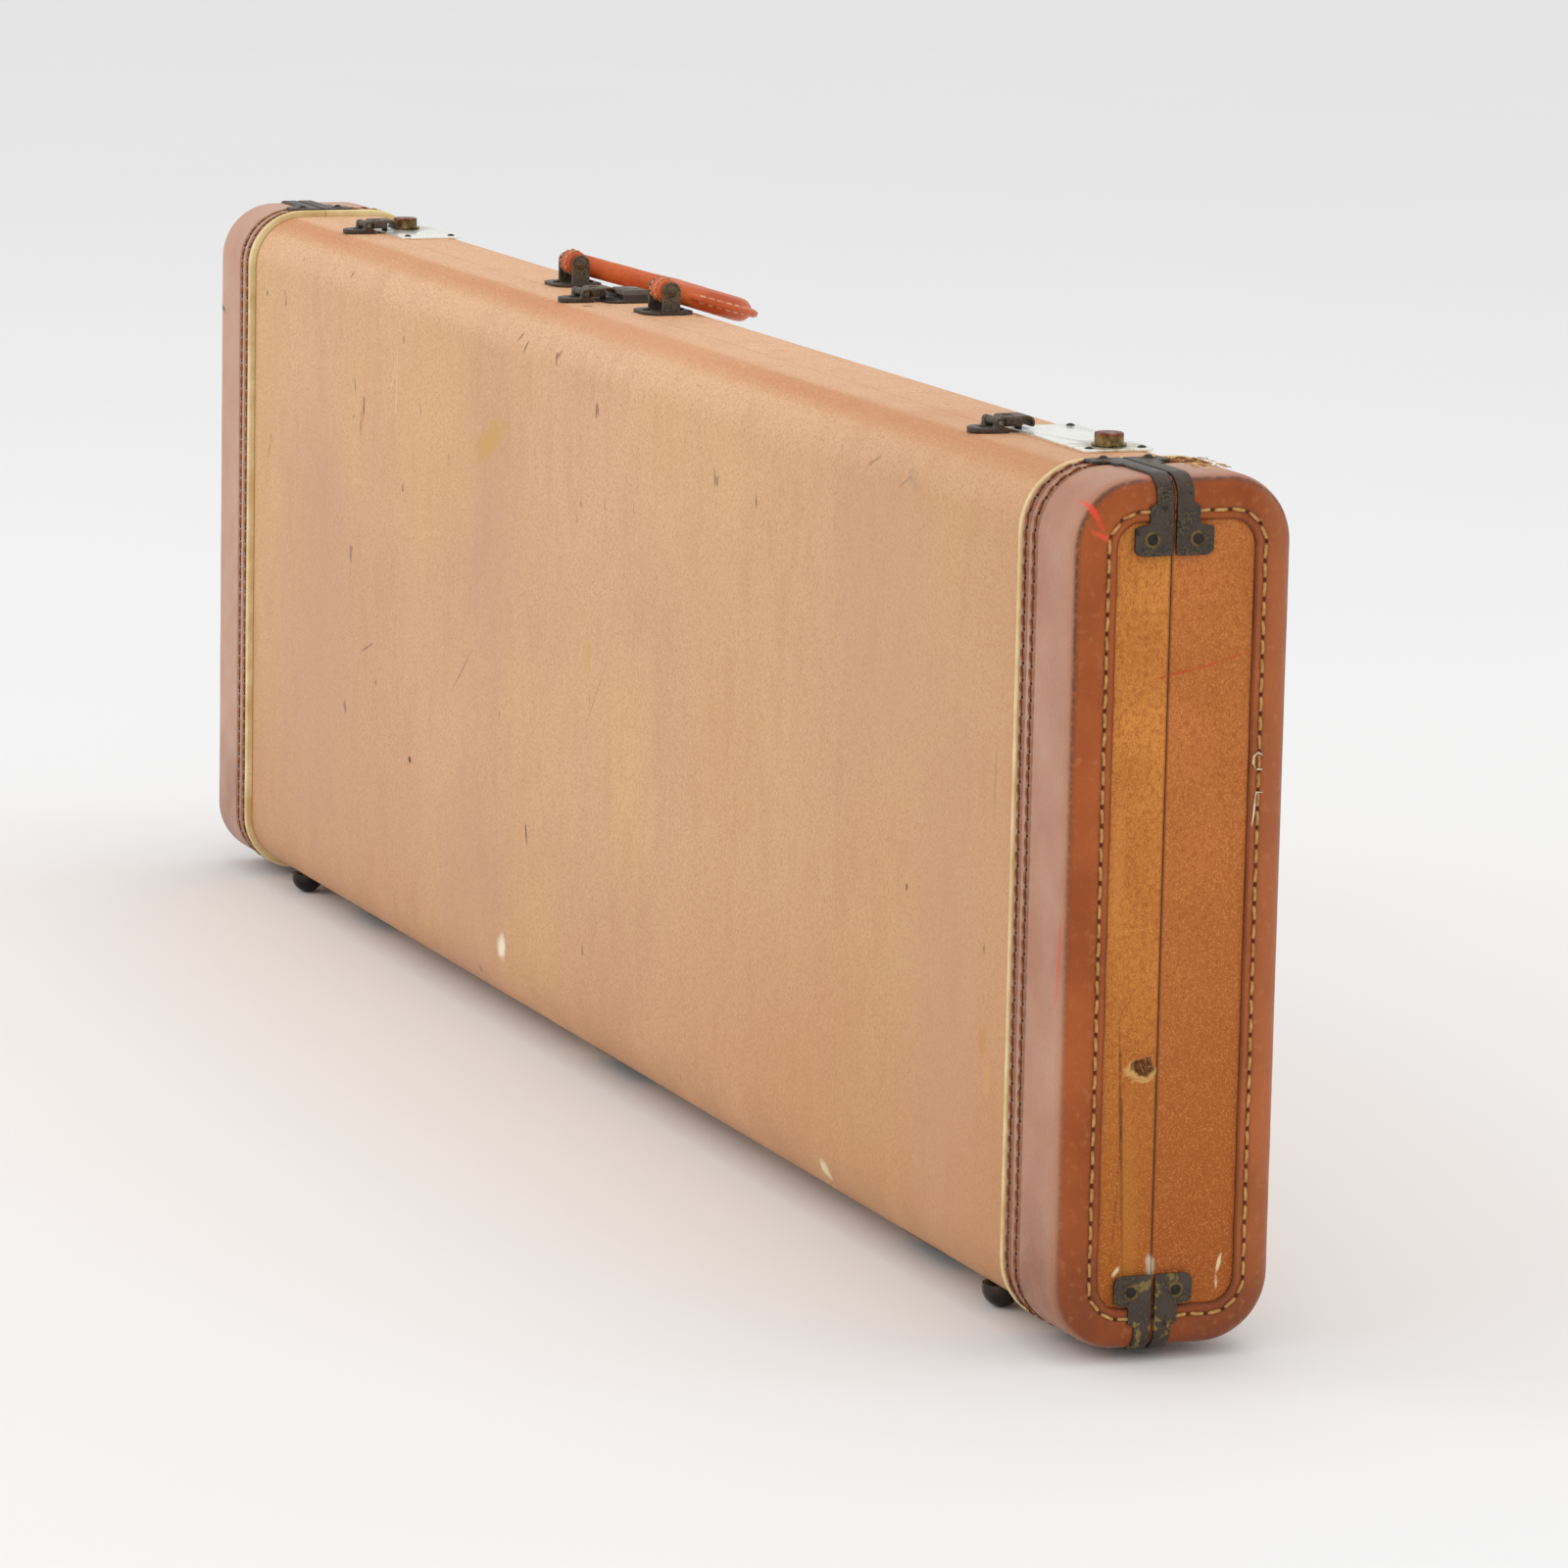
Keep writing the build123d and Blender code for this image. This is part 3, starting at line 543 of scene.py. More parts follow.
def piece(name, shape, look, body, slot, replaces=(), crease=40.0):
    """Add one finished mesh, or the bmesh it comes from, to the scene, riding on its body."""
    mesh = to_mesh(name, shape) if isinstance(shape, bmesh.types.BMesh) else shape
    obj = add_object(name, mesh)
    mesh.materials.clear()
    mesh.materials.append(LOOKS[look].material)
    mesh.shade_smooth()
    mesh.set_sharp_from_angle(angle=math.radians(crease))
    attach(obj, body)
    if replaces:
        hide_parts(*replaces)
    return obj


def smooth_step(value, low, high):
    share = min(1.0, max(0.0, (value - low) / (high - low)))
    return share * share * (3 - 2 * share)


def skin(bm, rows, caps=True):
    """Faces between rows of points; each row is a closed ring."""
    rings = [[bm.verts.new(point) for point in row] for row in rows]
    count = len(rows[0])
    for ring, after in zip(rings, rings[1:]):
        for index in range(count):
            step = (index + 1) % count
            bm.faces.new((ring[index], ring[step], after[step], after[index]))
    if caps:
        bm.faces.new(rings[0])
        bm.faces.new(rings[-1])
    return rings


def circle(centre, first, second, radius, count):
    """Ring of points in the plane of two directions."""
    turns = [2 * math.pi * step / count for step in range(count)]
    return [centre + (first * math.cos(turn) + second * math.sin(turn)) * radius for turn in turns]


def tube(bm, points, radius, sides=6, taper=0.35):
    """Thin round thread through a few points, narrowed at both ends."""
    rows = []
    for index, point in enumerate(points):
        before, after = points[max(0, index - 1)], points[min(len(points) - 1, index + 1)]
        along = (after - before).normalized()
        side = along.orthogonal().normalized()
        size = radius * (taper if index in (0, len(points) - 1) else 1.0)
        rows.append(circle(point, side, along.cross(side), size, sides))
    skin(bm, rows)


def stitch(bm, middle, along, out, length, radius):
    """One stitch: a plump thread whose ends go down into the leather."""
    along = (along + out * rng.uniform(-0.03, 0.03)).normalized()
    side = along.cross(out)
    along = (along + side * rng.uniform(-0.1, 0.1)).normalized()
    lifts = ((-0.5, -0.7), (-0.36, 0.15), (-0.12, 0.5), (0.12, 0.5), (0.36, 0.15), (0.5, -0.7))
    tube(bm, [middle + along * length * place + out * radius * lift for place, lift in lifts], radius)


def hole(bm, middle, out, radius):
    """Painted shade of a needle hole where a stitch goes down: a dark, low button just above the groove."""
    side = out.orthogonal().normalized()
    other = out.cross(side)
    rows = []
    for size, height in ((1.0, -0.3), (1.0, 0.08), (0.5, 0.14)):
        rows.append(circle(middle + out * height * MM, side, other, radius * size, 8))
    skin(bm, rows)


def relaxed(mesh, voxel, rounds):
    """The mesh made one skin of even small faces, then smoothed."""
    rough = add_object("rough", mesh)
    remesh = rough.modifiers.new("whole", "REMESH")
    remesh.mode = "VOXEL"
    remesh.voxel_size = voxel
    relax = rough.modifiers.new("relax", "SMOOTH")
    relax.factor, relax.iterations = 0.5, rounds
    graph = bpy.context.evaluated_depsgraph_get()
    result = bpy.data.meshes.new_from_object(rough.evaluated_get(graph))
    bpy.data.objects.remove(rough)
    return result


# ---- leather ends
def half_outline(side):
    """Points and outward normals round one half, from the top of the split to its bottom."""
    away = AWAY[side]
    start = SPLIT_Y + away * SPLIT_GAP
    straight = away * (HALF_DEPTH - CORNER)
    points = []

    def run(first, last, normal, step=2.5 * MM):
        count = max(2, round((last - first).length / step))
        for index in range(count):
            points.append((first.lerp(last, index / count), normal))

    def turn(centre, first, last, count=14):
        for index in range(count):
            angle = math.radians(first + (last - first) * index / count)
            normal = Vector((away * math.cos(angle), math.sin(angle)))
            points.append((centre + normal * CORNER, normal))

    run(Vector((start, CAP_Z)), Vector((straight, CAP_Z)), Vector((0, 1)))
    turn(Vector((straight, CAP_Z - CORNER)), 90, 0)
    side_y = away * HALF_DEPTH
    run(Vector((side_y, CAP_Z - CORNER)), Vector((side_y, BASE_Z + CORNER)), Vector((away, 0)), 3 * MM)
    turn(Vector((straight, BASE_Z + CORNER)), 0, -90)
    run(Vector((straight, BASE_Z)), Vector((start, BASE_Z)), Vector((0, -1)))
    points.append((Vector((start, BASE_Z)), Vector((0, -1))))
    return points


def end_profile():
    """Closed profile of a leather end: distance along the case, inset, and its zone colour (end face, worn
    arris, painted shade).
    """
    # Stitch grooves: offset and depth in millimetres, then how much painted shade lies in the groove.
    groove = ((-1.3, 0.0, 0.1), (-0.65, 0.13, 0.6), (0.0, 0.38, 0.9), (0.65, 0.13, 0.6), (1.3, 0.0, 0.1))
    trench = (
        (-1.5, 0, 0), (-0.8, 0.15, 0.5), (0, 0.4, 0.75), (1.4, 0.34, 0.5),
        (2.8, 0.36, 0.6), (3.8, 0.4, 0.9), (4.6, 0, 0),
    )
    # Painted shade along the cut edge by the piping.
    profile = [(BAND_X, 2.4 * MM, (0, 0, 0.8)), (BAND_X, 1.1 * MM, (0, 0, 0.6))]
    profile += [(BAND_X + 0.25 * MM, 0.35 * MM, (0, 0.2, 0.3)), (BAND_X + 0.9 * MM, 0, (0, 0, 0))]
    for row in SIDE_ROWS:
        profile += [(BAND_X + row + dx * MM, depth * MM, (0, 0, dark)) for dx, depth, dark in trench]
    first, last = BAND_X + 18 * MM, END_X - END_ROUND
    profile += [(first + (last - first) * step / 7, 0, (0, 0, 0)) for step in range(7)]
    for step in range(19):
        angle = math.radians(5 * step)
        arris = max(0.0, 1 - abs(step - 7) / 2.6)
        place = END_X - END_ROUND * (1 - math.sin(angle))
        profile.append((place, END_ROUND * (1 - math.cos(angle)), (smooth_step(step, 4, 9), arris, 0)))
    profile.append((END_X, 11 * MM, (1, 0, 0)))
    profile += [(END_X - depth * MM, STITCH_INSET + dx * MM, (1, 0, dark)) for dx, depth, dark in groove]
    # Painted shade at the inner edge of the frame and down its roll into the gap.
    profile += [(END_X, FRAME - 1.6 * MM, (1, 0, 0)), (END_X - 0.15 * MM, FRAME - 0.5 * MM, (1, 0, 0.7))]
    profile += [(END_X - 0.6 * MM, FRAME, (1, 0, 0.9)), (END_X - 2.5 * MM, FRAME, (1, 0, 0.9))]
    inner = END_ROUND - LEATHER + 0.05 * MM
    for step in range(7):
        angle = math.radians(90 - 15 * step)
        place = END_X - END_ROUND + inner * math.sin(angle)
        profile.append((place, END_ROUND - inner * math.cos(angle), (0.5, 0, 1)))
    return profile


def leather_end(side, end):
    """One leather end of one half, with sunk stitch rows and rolled edges at the split."""
    sign = ENDS[end]
    outline, profile = half_outline(side), end_profile()
    bm = bmesh.new()
    zones = bm.verts.layers.float_color.new("zones")
    rows = []
    for index, (point, normal) in enumerate(outline):
        from_cut = min(index, len(outline) - 1 - index)
        roll = (0.4 * MM, 0.08 * MM)[from_cut] if from_cut < 2 else 0.0
        row = []
        for place, inset, zone in profile:
            outer = zone[2] < 0.95
            wave = noise.noise(Vector((place * 30, point.x * 40, point.y * 22)))
            ripple = noise.noise(Vector((place * 110, point.x * 130, point.y * 90 + 3)))
            extra = (0.14 * wave + 0.05 * ripple) * MM if outer else 0.0
            if inset > FRAME - 0.9 * MM:
                extra += 0.28 * MM * noise.noise(Vector((point.x * 120, point.y * 60, 9)))
            flat = point - normal * (inset + roll * outer + extra)
            sunk = (0.1 * MM * wave + roll) if inset > END_ROUND and outer else 0.0
            row.append(Vector((sign * (place - sunk), flat.x, flat.y)))
        rows.append(row)
    rings = skin(bm, rows)
    for ring in rings:
        for vertex, (_, _, zone) in zip(ring, profile):
            vertex[zones] = (*zone, 1)
    node = f"{side}_leather_end_{end}"
    piece(f"{node}_skin", bm, "end_leather", side, "end_leather", [node])


def walk(points, pitch, margin):
    """Evenly spaced places along a polyline, with the direction there."""
    lengths = [0.0]
    for first, second in zip(points, points[1:]):
        lengths.append(lengths[-1] + (second[0] - first[0]).length)
    count = int((lengths[-1] - 2 * margin) / pitch)
    spare = (lengths[-1] - count * pitch) / 2
    index = 0
    for step in range(count + 1):
        target = spare + step * pitch
        while index < len(lengths) - 2 and lengths[index + 1] < target:
            index += 1
        share = (target - lengths[index]) / max(1e-9, lengths[index + 1] - lengths[index])
        (first, normal), (second, next_normal) = points[index], points[index + 1]
        along = (second - first).normalized()
        yield first.lerp(second, share), along, normal.lerp(next_normal, share).normalized()


def stitches(side, end):
    """The sewn rows of one leather end: one on the end face, two beside the piping."""
    sign = ENDS[end]
    outline = half_outline(side)
    bm, holes = bmesh.new(), bmesh.new()
    inset = [(point - normal * STITCH_INSET, normal) for point, normal in outline]
    out = Vector((sign, 0, 0))
    for point, along, _ in walk(inset, FACE_PITCH, 2 * MM):
        middle = Vector((sign * (END_X - 0.12 * MM), point.x, point.y))
        ahead = Vector((0, along.x, along.y))
        stitch(bm, middle, ahead, out, FACE_STITCH, FACE_THREAD)
        hole(holes, middle + ahead * FACE_PITCH / 2, out, HOLE)
    piece(f"end_stitches_{side}_{end}", bm, "thread", side, "end_leather", crease=80)
    bm = bmesh.new()
    for row in SIDE_ROWS:
        for point, along, normal in walk(outline, SIDE_PITCH, 2 * MM):
            middle = Vector((sign * (BAND_X + row), point.x, point.y))
            up = Vector((0, normal.x, normal.y))
            middle -= up * 0.18 * MM
            slant = Vector((sign * 0.22, along.x, along.y)).normalized()
            stitch(bm, middle, slant, up, SIDE_STITCH, SIDE_THREAD)
            hole(holes, middle + slant * SIDE_PITCH / 2, up, HOLE)
    piece(f"side_stitches_{side}_{end}", bm, "side_thread", side, "end_leather", crease=80)
    piece(f"stitch_holes_{side}_{end}", holes, "hole", side, "end_leather", crease=80)


for half in AWAY:
    for case_end in ENDS:
        leather_end(half, case_end)
        stitches(half, case_end)


# ---- corner straps
STRAP_T = 1.2 * MM
STRAP_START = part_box("base_corner_straps")[0].y - SPLIT_Y
STRAP_DROP = 31 * MM
STRAP_TOP_X = BAND_X + 1.5 * MM
STRAP_WIDTH, STEP_EXTRA, FOOT_EXTRA = 7.3 * MM, 2.7 * MM, 6.2 * MM
STEP_ENDS, FOOT_ENDS = (19.4 * MM, 21.0 * MM), (11.0 * MM, 13.0 * MM)
FOOT_CORNER = 3.2 * MM
STRAP_EDGE = (
    (0, 0.02 * MM), (0, STRAP_T - 0.4 * MM), (0.15 * MM, STRAP_T - 0.12 * MM), (0.5 * MM, STRAP_T),
)


def strap_path():
    """Places along a strap: position, outward normal, distance from the nearer end."""
    places = []
    corner = Vector((END_X - END_ROUND, CAP_Z - END_ROUND))
    along_top = corner.x - STRAP_TOP_X
    down = STRAP_DROP - END_ROUND
    bend = END_ROUND * math.pi / 2
    total = along_top + bend + down
    steps = 150
    for index in range(steps + 1):
        share = index / steps
        length = total * share
        if length < along_top:
            spot, normal = Vector((STRAP_TOP_X + length, CAP_Z)), Vector((0, 1))
        elif length < along_top + bend:
            angle = (length - along_top) / END_ROUND
            normal = Vector((math.sin(angle), math.cos(angle)))
            spot = corner + normal * END_ROUND
        else:
            normal = Vector((1, 0))
            spot = Vector((END_X, CAP_Z - END_ROUND - (length - along_top - bend)))
        places.append((spot, normal, min(length, total - length)))
    return places


def strap_width(distance):
    """Width of the strap at a distance from its end, in two flared steps."""
    width = STRAP_WIDTH + STEP_EXTRA * (1 - smooth_step(distance, *STEP_ENDS))
    width += FOOT_EXTRA * (1 - smooth_step(distance, *FOOT_ENDS))
    if distance < FOOT_CORNER:
        width -= FOOT_CORNER - math.sqrt(FOOT_CORNER**2 - (FOOT_CORNER - distance) ** 2)
    return width


def corner_straps(side):
    """All four straps of one half, bent from one pattern."""
    away = AWAY[side]
    bm = bmesh.new()
    for sign in ENDS.values():
        for flip in (False, True):
            rows = []
            for spot, normal, distance in strap_path():
                width = strap_width(distance)
                edge = 0.8 * MM if distance < 0.4 * MM else 0.0
                crown = 0.25 * MM * (1 - smooth_step(distance, 0, 2 * MM))
                section = [(edge + across, height) for across, height in STRAP_EDGE]
                section.append((width / 2, STRAP_T))
                section += [(width - across, height) for across, height in reversed(STRAP_EDGE)]
                row = []
                for across, height in section:
                    height = height - crown if height > 0.1 * MM else height
                    flat = spot + normal * height
                    z = flat.y if not flip else CAP_Z + BASE_Z - flat.y
                    row.append(Vector((sign * flat.x, SPLIT_Y + away * (STRAP_START + across), z)))
                rows.append(row)
            skin(bm, rows)
    node = f"{side}_corner_straps"
    piece(f"{node}_bent", bm, "bronzed_steel", side, "bronzed_steel", [node])


def welded(node):
    """A CAD node's mesh with its doubled points joined."""
    bm = bmesh.new()
    bm.from_mesh(NODES[node].data)
    bmesh.ops.remove_doubles(bm, verts=bm.verts, dist=0.002 * MM)
    return bm


def islands(bm):
    """Each separate lump of a mesh, as the low and high corners of its box."""
    seen = set()
    for start in bm.verts:
        if start.index in seen:
            continue
        group, queue = [], [start]
        seen.add(start.index)
        while queue:
            vertex = queue.pop()
            group.append(vertex.co)
            for other in (edge.other_vert(vertex) for edge in vertex.link_edges):
                if other.index not in seen:
                    seen.add(other.index)
                    queue.append(other)
        yield [Vector([choose(co[axis] for co in group) for axis in range(3)]) for choose in (min, max)]


def rivet_washers(side):
    """Brass washers round the strap rivets, from where the CAD rivets stand."""
    bm = welded(f"{side}_strap_rivets")
    bm.verts.index_update()
    washers = bmesh.new()
    for low, high in islands(bm):
        centre, size = (low + high) / 2, high - low
        axis = min(range(3), key=lambda number: size[number])
        out = Vector((0, 0, 0))
        out[axis] = 1 if centre[axis] > CASE_MIDDLE[axis] else -1
        centre[axis] = low[axis] if out[axis] > 0 else high[axis]
        first = out.orthogonal().normalized()
        second = out.cross(first)
        rows = []
        for radius, height in WASHER:
            rows.append(circle(centre + out * height * MM, first, second, radius * MM, 28))
        skin(washers, [*rows, rows[0]], caps=False)
    bmesh.ops.remove_doubles(washers, verts=washers.verts, dist=0.001 * MM)
    bm.free()
    piece(f"{side}_rivet_washers", washers, "brass_ring", side, "bronzed_steel")


CASE_MIDDLE = (0, 0, (CAP_Z + BASE_Z) / 2)
WASHER = ((2.0, -0.2), (2.1, 0.25), (2.5, 0.32), (3.1, 0.28), (3.3, 0.1), (3.3, -0.2))
for half in AWAY:
    corner_straps(half)
for half in AWAY:
    rivet_washers(half)


# ---- metal fittings, edges eased
def eased(node, width):
    """Copy of a CAD node with its sharp edges rounded off."""
    bm = welded(node)
    bmesh.ops.dissolve_limit(bm, angle_limit=math.radians(1.0), verts=bm.verts, edges=bm.edges)
    joined = [edge for edge in bm.edges if len(edge.link_faces) == 2]
    sharp = [edge for edge in joined if edge.calc_face_angle() > math.radians(38)]
    bmesh.ops.bevel(
        bm, geom=sharp, offset=width, offset_type="OFFSET", segments=2, profile=0.5,
        affect="EDGES", clamp_overlap=True, harden_normals=False,
    )
    piece(f"{node}_eased", bm, SLOTS[node], NODES[node]["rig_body"], SLOTS[node], [node])


def cast(node, voxel, rounds):
    """Copy of a CAD node softened all over, like a worn pressing."""
    source = NODES[node]
    mesh = relaxed(source.data.copy(), voxel, rounds)
    piece(f"{node}_cast", mesh, SLOTS[node], source["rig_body"], SLOTS[node], [node], 60)


for fitting in ("hasp_bases", "hasp_left", "hasp_right", "hasp_centre"):
    cast(fitting, 0.4 * MM, 4)
eased("centre_lock_case", 0.35 * MM)
for fitting in ("handle_bracket_left", "handle_bracket_right", "lock_plate_left", "lock_plate_right"):
    eased(fitting, 0.22 * MM)
for fitting in ("thumb_button_left", "thumb_button_right", "key_plug"):
    eased(fitting, 0.15 * MM)
for half in AWAY:
    eased(f"{half}_hinge_leaves", 0.15 * MM)


# ---- handle
HANDLE_REACH, HANDLE_BEND, HANDLE_TILT = 45 * MM, 17 * MM, math.radians(-15)
ARM_R, GRIP_EXTRA = 5.0 * MM, 0.8 * MM
LOBE = [(-5.6, 3.6), (-5.4, 4.6), (-4.6, 5.3), (-3, 5.7)]


def handle_route():
    """Middle line of the handle in its own plane, the turn that folds it back, and its two arms."""
    pins_lo, pins_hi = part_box("handle_pins")
    left = sum(box[0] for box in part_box("handle_bracket_left")) / 2
    right = sum(box[0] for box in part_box("handle_bracket_right")) / 2
    arm, span = HANDLE_REACH - HANDLE_BEND, right - left - 2 * HANDLE_BEND
    route = [(Vector((left, arm * index / 12)), Vector((-1, 0))) for index in range(12)]

    def bend(centre_x, start):
        for index in range(14):
            angle = math.radians(start - 90 * index / 14)
            normal = Vector((math.cos(angle), math.sin(angle)))
            route.append((Vector((centre_x, arm)) + normal * HANDLE_BEND, normal))

    bend(left + HANDLE_BEND, 180)
    for index in range(48):
        route.append((Vector((left + HANDLE_BEND + span * index / 48, HANDLE_REACH)), Vector((0, 1))))
    bend(right - HANDLE_BEND, 90)
    route += [(Vector((right, arm * (1 - index / 12))), Vector((1, 0))) for index in range(13)]
    pin = Vector((0, (pins_lo.y + pins_hi.y) / 2, (pins_lo.z + pins_hi.z) / 2))
    folded = Matrix.Translation(pin) @ Matrix.Rotation(HANDLE_TILT, 4, "X")
    return route, folded, (left, right)


def handle():
    """Rolled leather loop with a sewn seam along its outside, and its stitches."""
    route, folded, arms = handle_route()
    ring_turns = [0, 5, 9, 14, 24, 40, 60, 80, 100, 120, 140, 160]
    ring_turns += [180] + [360 - turn for turn in reversed(ring_turns[1:])]
    bm = bmesh.new()
    rows, seam_line = [], []
    for index, (spot, normal) in enumerate(route):
        share = index / (len(route) - 1)
        grip = smooth_step(share, 0.16, 0.3) * (1 - smooth_step(share, 0.7, 0.84))
        radius = ARM_R + GRIP_EXTRA * grip
        ridge = (0.5 + 2.7 * smooth_step(share, 0.45, 0.78)) * MM
        ridge *= smooth_step(share, 0.14, 0.24) * (1 - smooth_step(share, 0.93, 0.955))
        sag = -0.5 * MM * math.sin(math.pi * share)
        centre = Vector((spot.x, spot.y, sag))
        out = Vector((normal.x, normal.y, 0))
        row = []
        for turn in ring_turns:
            near = min(turn, 360 - turn)
            lift = ridge * (1 if near <= 9 else 0.3 if near <= 14 else 0)
            angle = math.radians(turn)
            spoke = out * math.cos(angle) + Vector((0, 0, math.sin(angle)))
            row.append(centre + spoke * (radius + lift))
        rows.append(row)
        if ridge > 0.9 * MM:
            seam_line.append((centre + out * (radius + ridge * 0.45), out))
    skin(bm, rows)
    for x in arms:
        lobe = []
        for place, radius in LOBE + [(-place, radius) for place, radius in reversed(LOBE)]:
            middle = Vector((x + place * MM, 0, 0))
            lobe.append(circle(middle, Vector((0, 1, 0)), Vector((0, 0, 1)), radius * MM, 24))
        skin(bm, lobe)
    mesh = relaxed(to_mesh("handle_rough", bm), 0.55 * MM, 3)
    for vertex in mesh.vertices:
        vertex.co += vertex.normal * 0.1 * MM * noise.noise(vertex.co * 160)
    mesh.transform(folded)
    piece("handle_loop", mesh, "handle_leather", "handle", "handle_leather", ["handle_grip"], 60)
    bm = bmesh.new()
    for lift in (1, -1):
        line = [(point + Vector((0, 0, lift * 1.2 * MM)), out) for point, out in seam_line]
        for point, along, _ in walk(line, 4.6 * MM, 2 * MM):
            stitch(bm, point, along, Vector((0, 0, lift)), 3.3 * MM, 0.55 * MM)
    for x in arms:
        for side in (-3.4, 3.4):
            for step in range(6):
                angle = math.radians(250 - 30 * step)
                out = Vector((0, math.cos(angle), math.sin(angle)))
                along = Vector((0, -math.sin(angle), math.cos(angle)))
                middle = Vector((x + side * MM, 0, 0)) + out * 5.75 * MM
                stitch(bm, middle, along, out, 2.2 * MM, 0.34 * MM)
    mesh = to_mesh("handle_stitches", bm)
    mesh.transform(folded)
    piece("handle_stitches", mesh, "handle_thread", "handle", "handle_leather", crease=80)


handle()


# ---- wear that stands off the surface
def end_point(y, z, lift=0.0):
    """Place on the right end panel, in millimetres."""
    panel_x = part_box("base_end_panels")[1].x
    return Vector((panel_x + lift * MM, y * MM, z * MM))


def torn_cloth():
    """Lifted flap of cloth and the long tear below it."""
    bm = bmesh.new()
    outline = [
        (-19.2, 122.5), (-16.5, 125.4), (-11.8, 124.6), (-7.4, 125.6), (-6.6, 121.0), (-7.2, 116.2),
        (-11.0, 114.6), (-15.2, 115.6), (-19.0, 115.0), (-19.8, 118.6),
    ]
    flap_y, flap_z = -12.6, 119.8
    rings = []
    for size, lift in ((1.0, -0.1), (1.0, 0.22), (0.86, 0.5), (0.5, 0.32)):
        shrunk = [(flap_y + (y - flap_y) * size, flap_z + (z - flap_z) * size) for y, z in outline]
        rings.append([end_point(y, z, lift) for y, z in shrunk])
    skin(bm, rings)
    tear = [(-19.0, 127.8), (-19.6, 112), (-20.2, 98), (-20.6, 84.5), (-21.6, 66), (-22.6, 50), (-23.4, 37)]
    lips = []
    for index in range(61):
        share = index / 60 * (len(tear) - 1)
        low = min(int(share), len(tear) - 2)
        y = tear[low][0] + (tear[low + 1][0] - tear[low][0]) * (share - low)
        z = tear[low][1] + (tear[low + 1][1] - tear[low][1]) * (share - low)
        jitter = 0.35 * noise.noise(Vector((z * 0.35, 1, 2)))
        lift = 0.32 + 0.2 * noise.noise(Vector((z * 0.2, 5, 2)))
        y += jitter
        section = ((-0.5, -0.05), (-0.35, lift), (0, lift * 0.9), (0.9, -0.05))
        lips.append([end_point(y + across, z, height) for across, height in section])
    skin(bm, lips)
    piece("torn_cloth", bm, "end_cloth", "lid", "end_cloth", crease=70)


def torn_cloth_threads():
    """Short threads standing out of the flap and the tear."""
    bm = bmesh.new()
    for _ in range(26):
        y, z = rng.uniform(-17, -8), rng.uniform(115.5, 124.5)
        turn = rng.uniform(0, 2 * math.pi)
        step = Vector((0, math.cos(turn), math.sin(turn))) * rng.uniform(1.0, 2.2) * MM
        start = end_point(y, z, 0.3)
        rise = Vector((rng.uniform(0.2, 0.8) * MM, 0, 0))
        tube(bm, [start, start + step * 0.6 + rise, start + step * 1.2 + rise * 0.6], 0.13 * MM, 5)
    for z in (98, 90, 83, 61, 45):
        start = end_point(-20.5, z, 0.2)
        turn = rng.uniform(-0.8, 0.8)
        step = Vector((0, -math.cos(turn), math.sin(turn))) * rng.uniform(1.6, 3.2) * MM
        tube(bm, [start, start + step * 0.5 + Vector((0.5 * MM, 0, 0)), start + step], 0.12 * MM, 5)
    piece("torn_cloth_threads", bm, "thread", "lid", "end_cloth", crease=80)


def broken_stitch():
    """A stitch of the end face that has come out: a curl of thread and its hanging tail."""
    bm = bmesh.new()
    start = Vector((END_X, 33.2 * MM, 241 * MM))
    curl = [
        (0, 1.8, -3.4), (0.4, -1.0, -3.2), (0.6, -2.4, -1.0),
        (0.7, -2.3, 2.0), (0.7, -0.4, 3.4), (0.6, 1.4, 2.6),
    ]
    tube(bm, [start + Vector(step) * MM for step in curl], 0.55 * MM, 7)
    tail = [(0, 2.4, -12.6), (0.5, -0.6, -12.4), (0.5, -1.2, -16), (0.5, -1.6, -22), (0, -2.0, -26)]
    tube(bm, [start + Vector(step) * MM for step in tail], 0.42 * MM, 7)
    piece("broken_stitch", bm, "pale_thread", "base", "end_leather", crease=80)


def worn_edge():
    """Frayed fibres where the leather is worn through on top of the near end."""
    bm = bmesh.new()
    for _ in range(70):
        turn = rng.gauss(0.3, 0.7)
        start = Vector((rng.uniform(518, 549), rng.uniform(14, 27), 355.1)) * MM
        step = Vector((math.cos(turn), math.sin(turn), 0)) * rng.uniform(1.6, 3.6) * MM
        rise = Vector((0, 0, rng.uniform(0.15, 0.7) * MM))
        tube(bm, [start, start + step * 0.5 + rise, start + step], 0.2 * MM, 5)
    piece("loose_threads", bm, "thread", "base", "end_leather", crease=80)


torn_cloth()
torn_cloth_threads()
broken_stitch()
worn_edge()


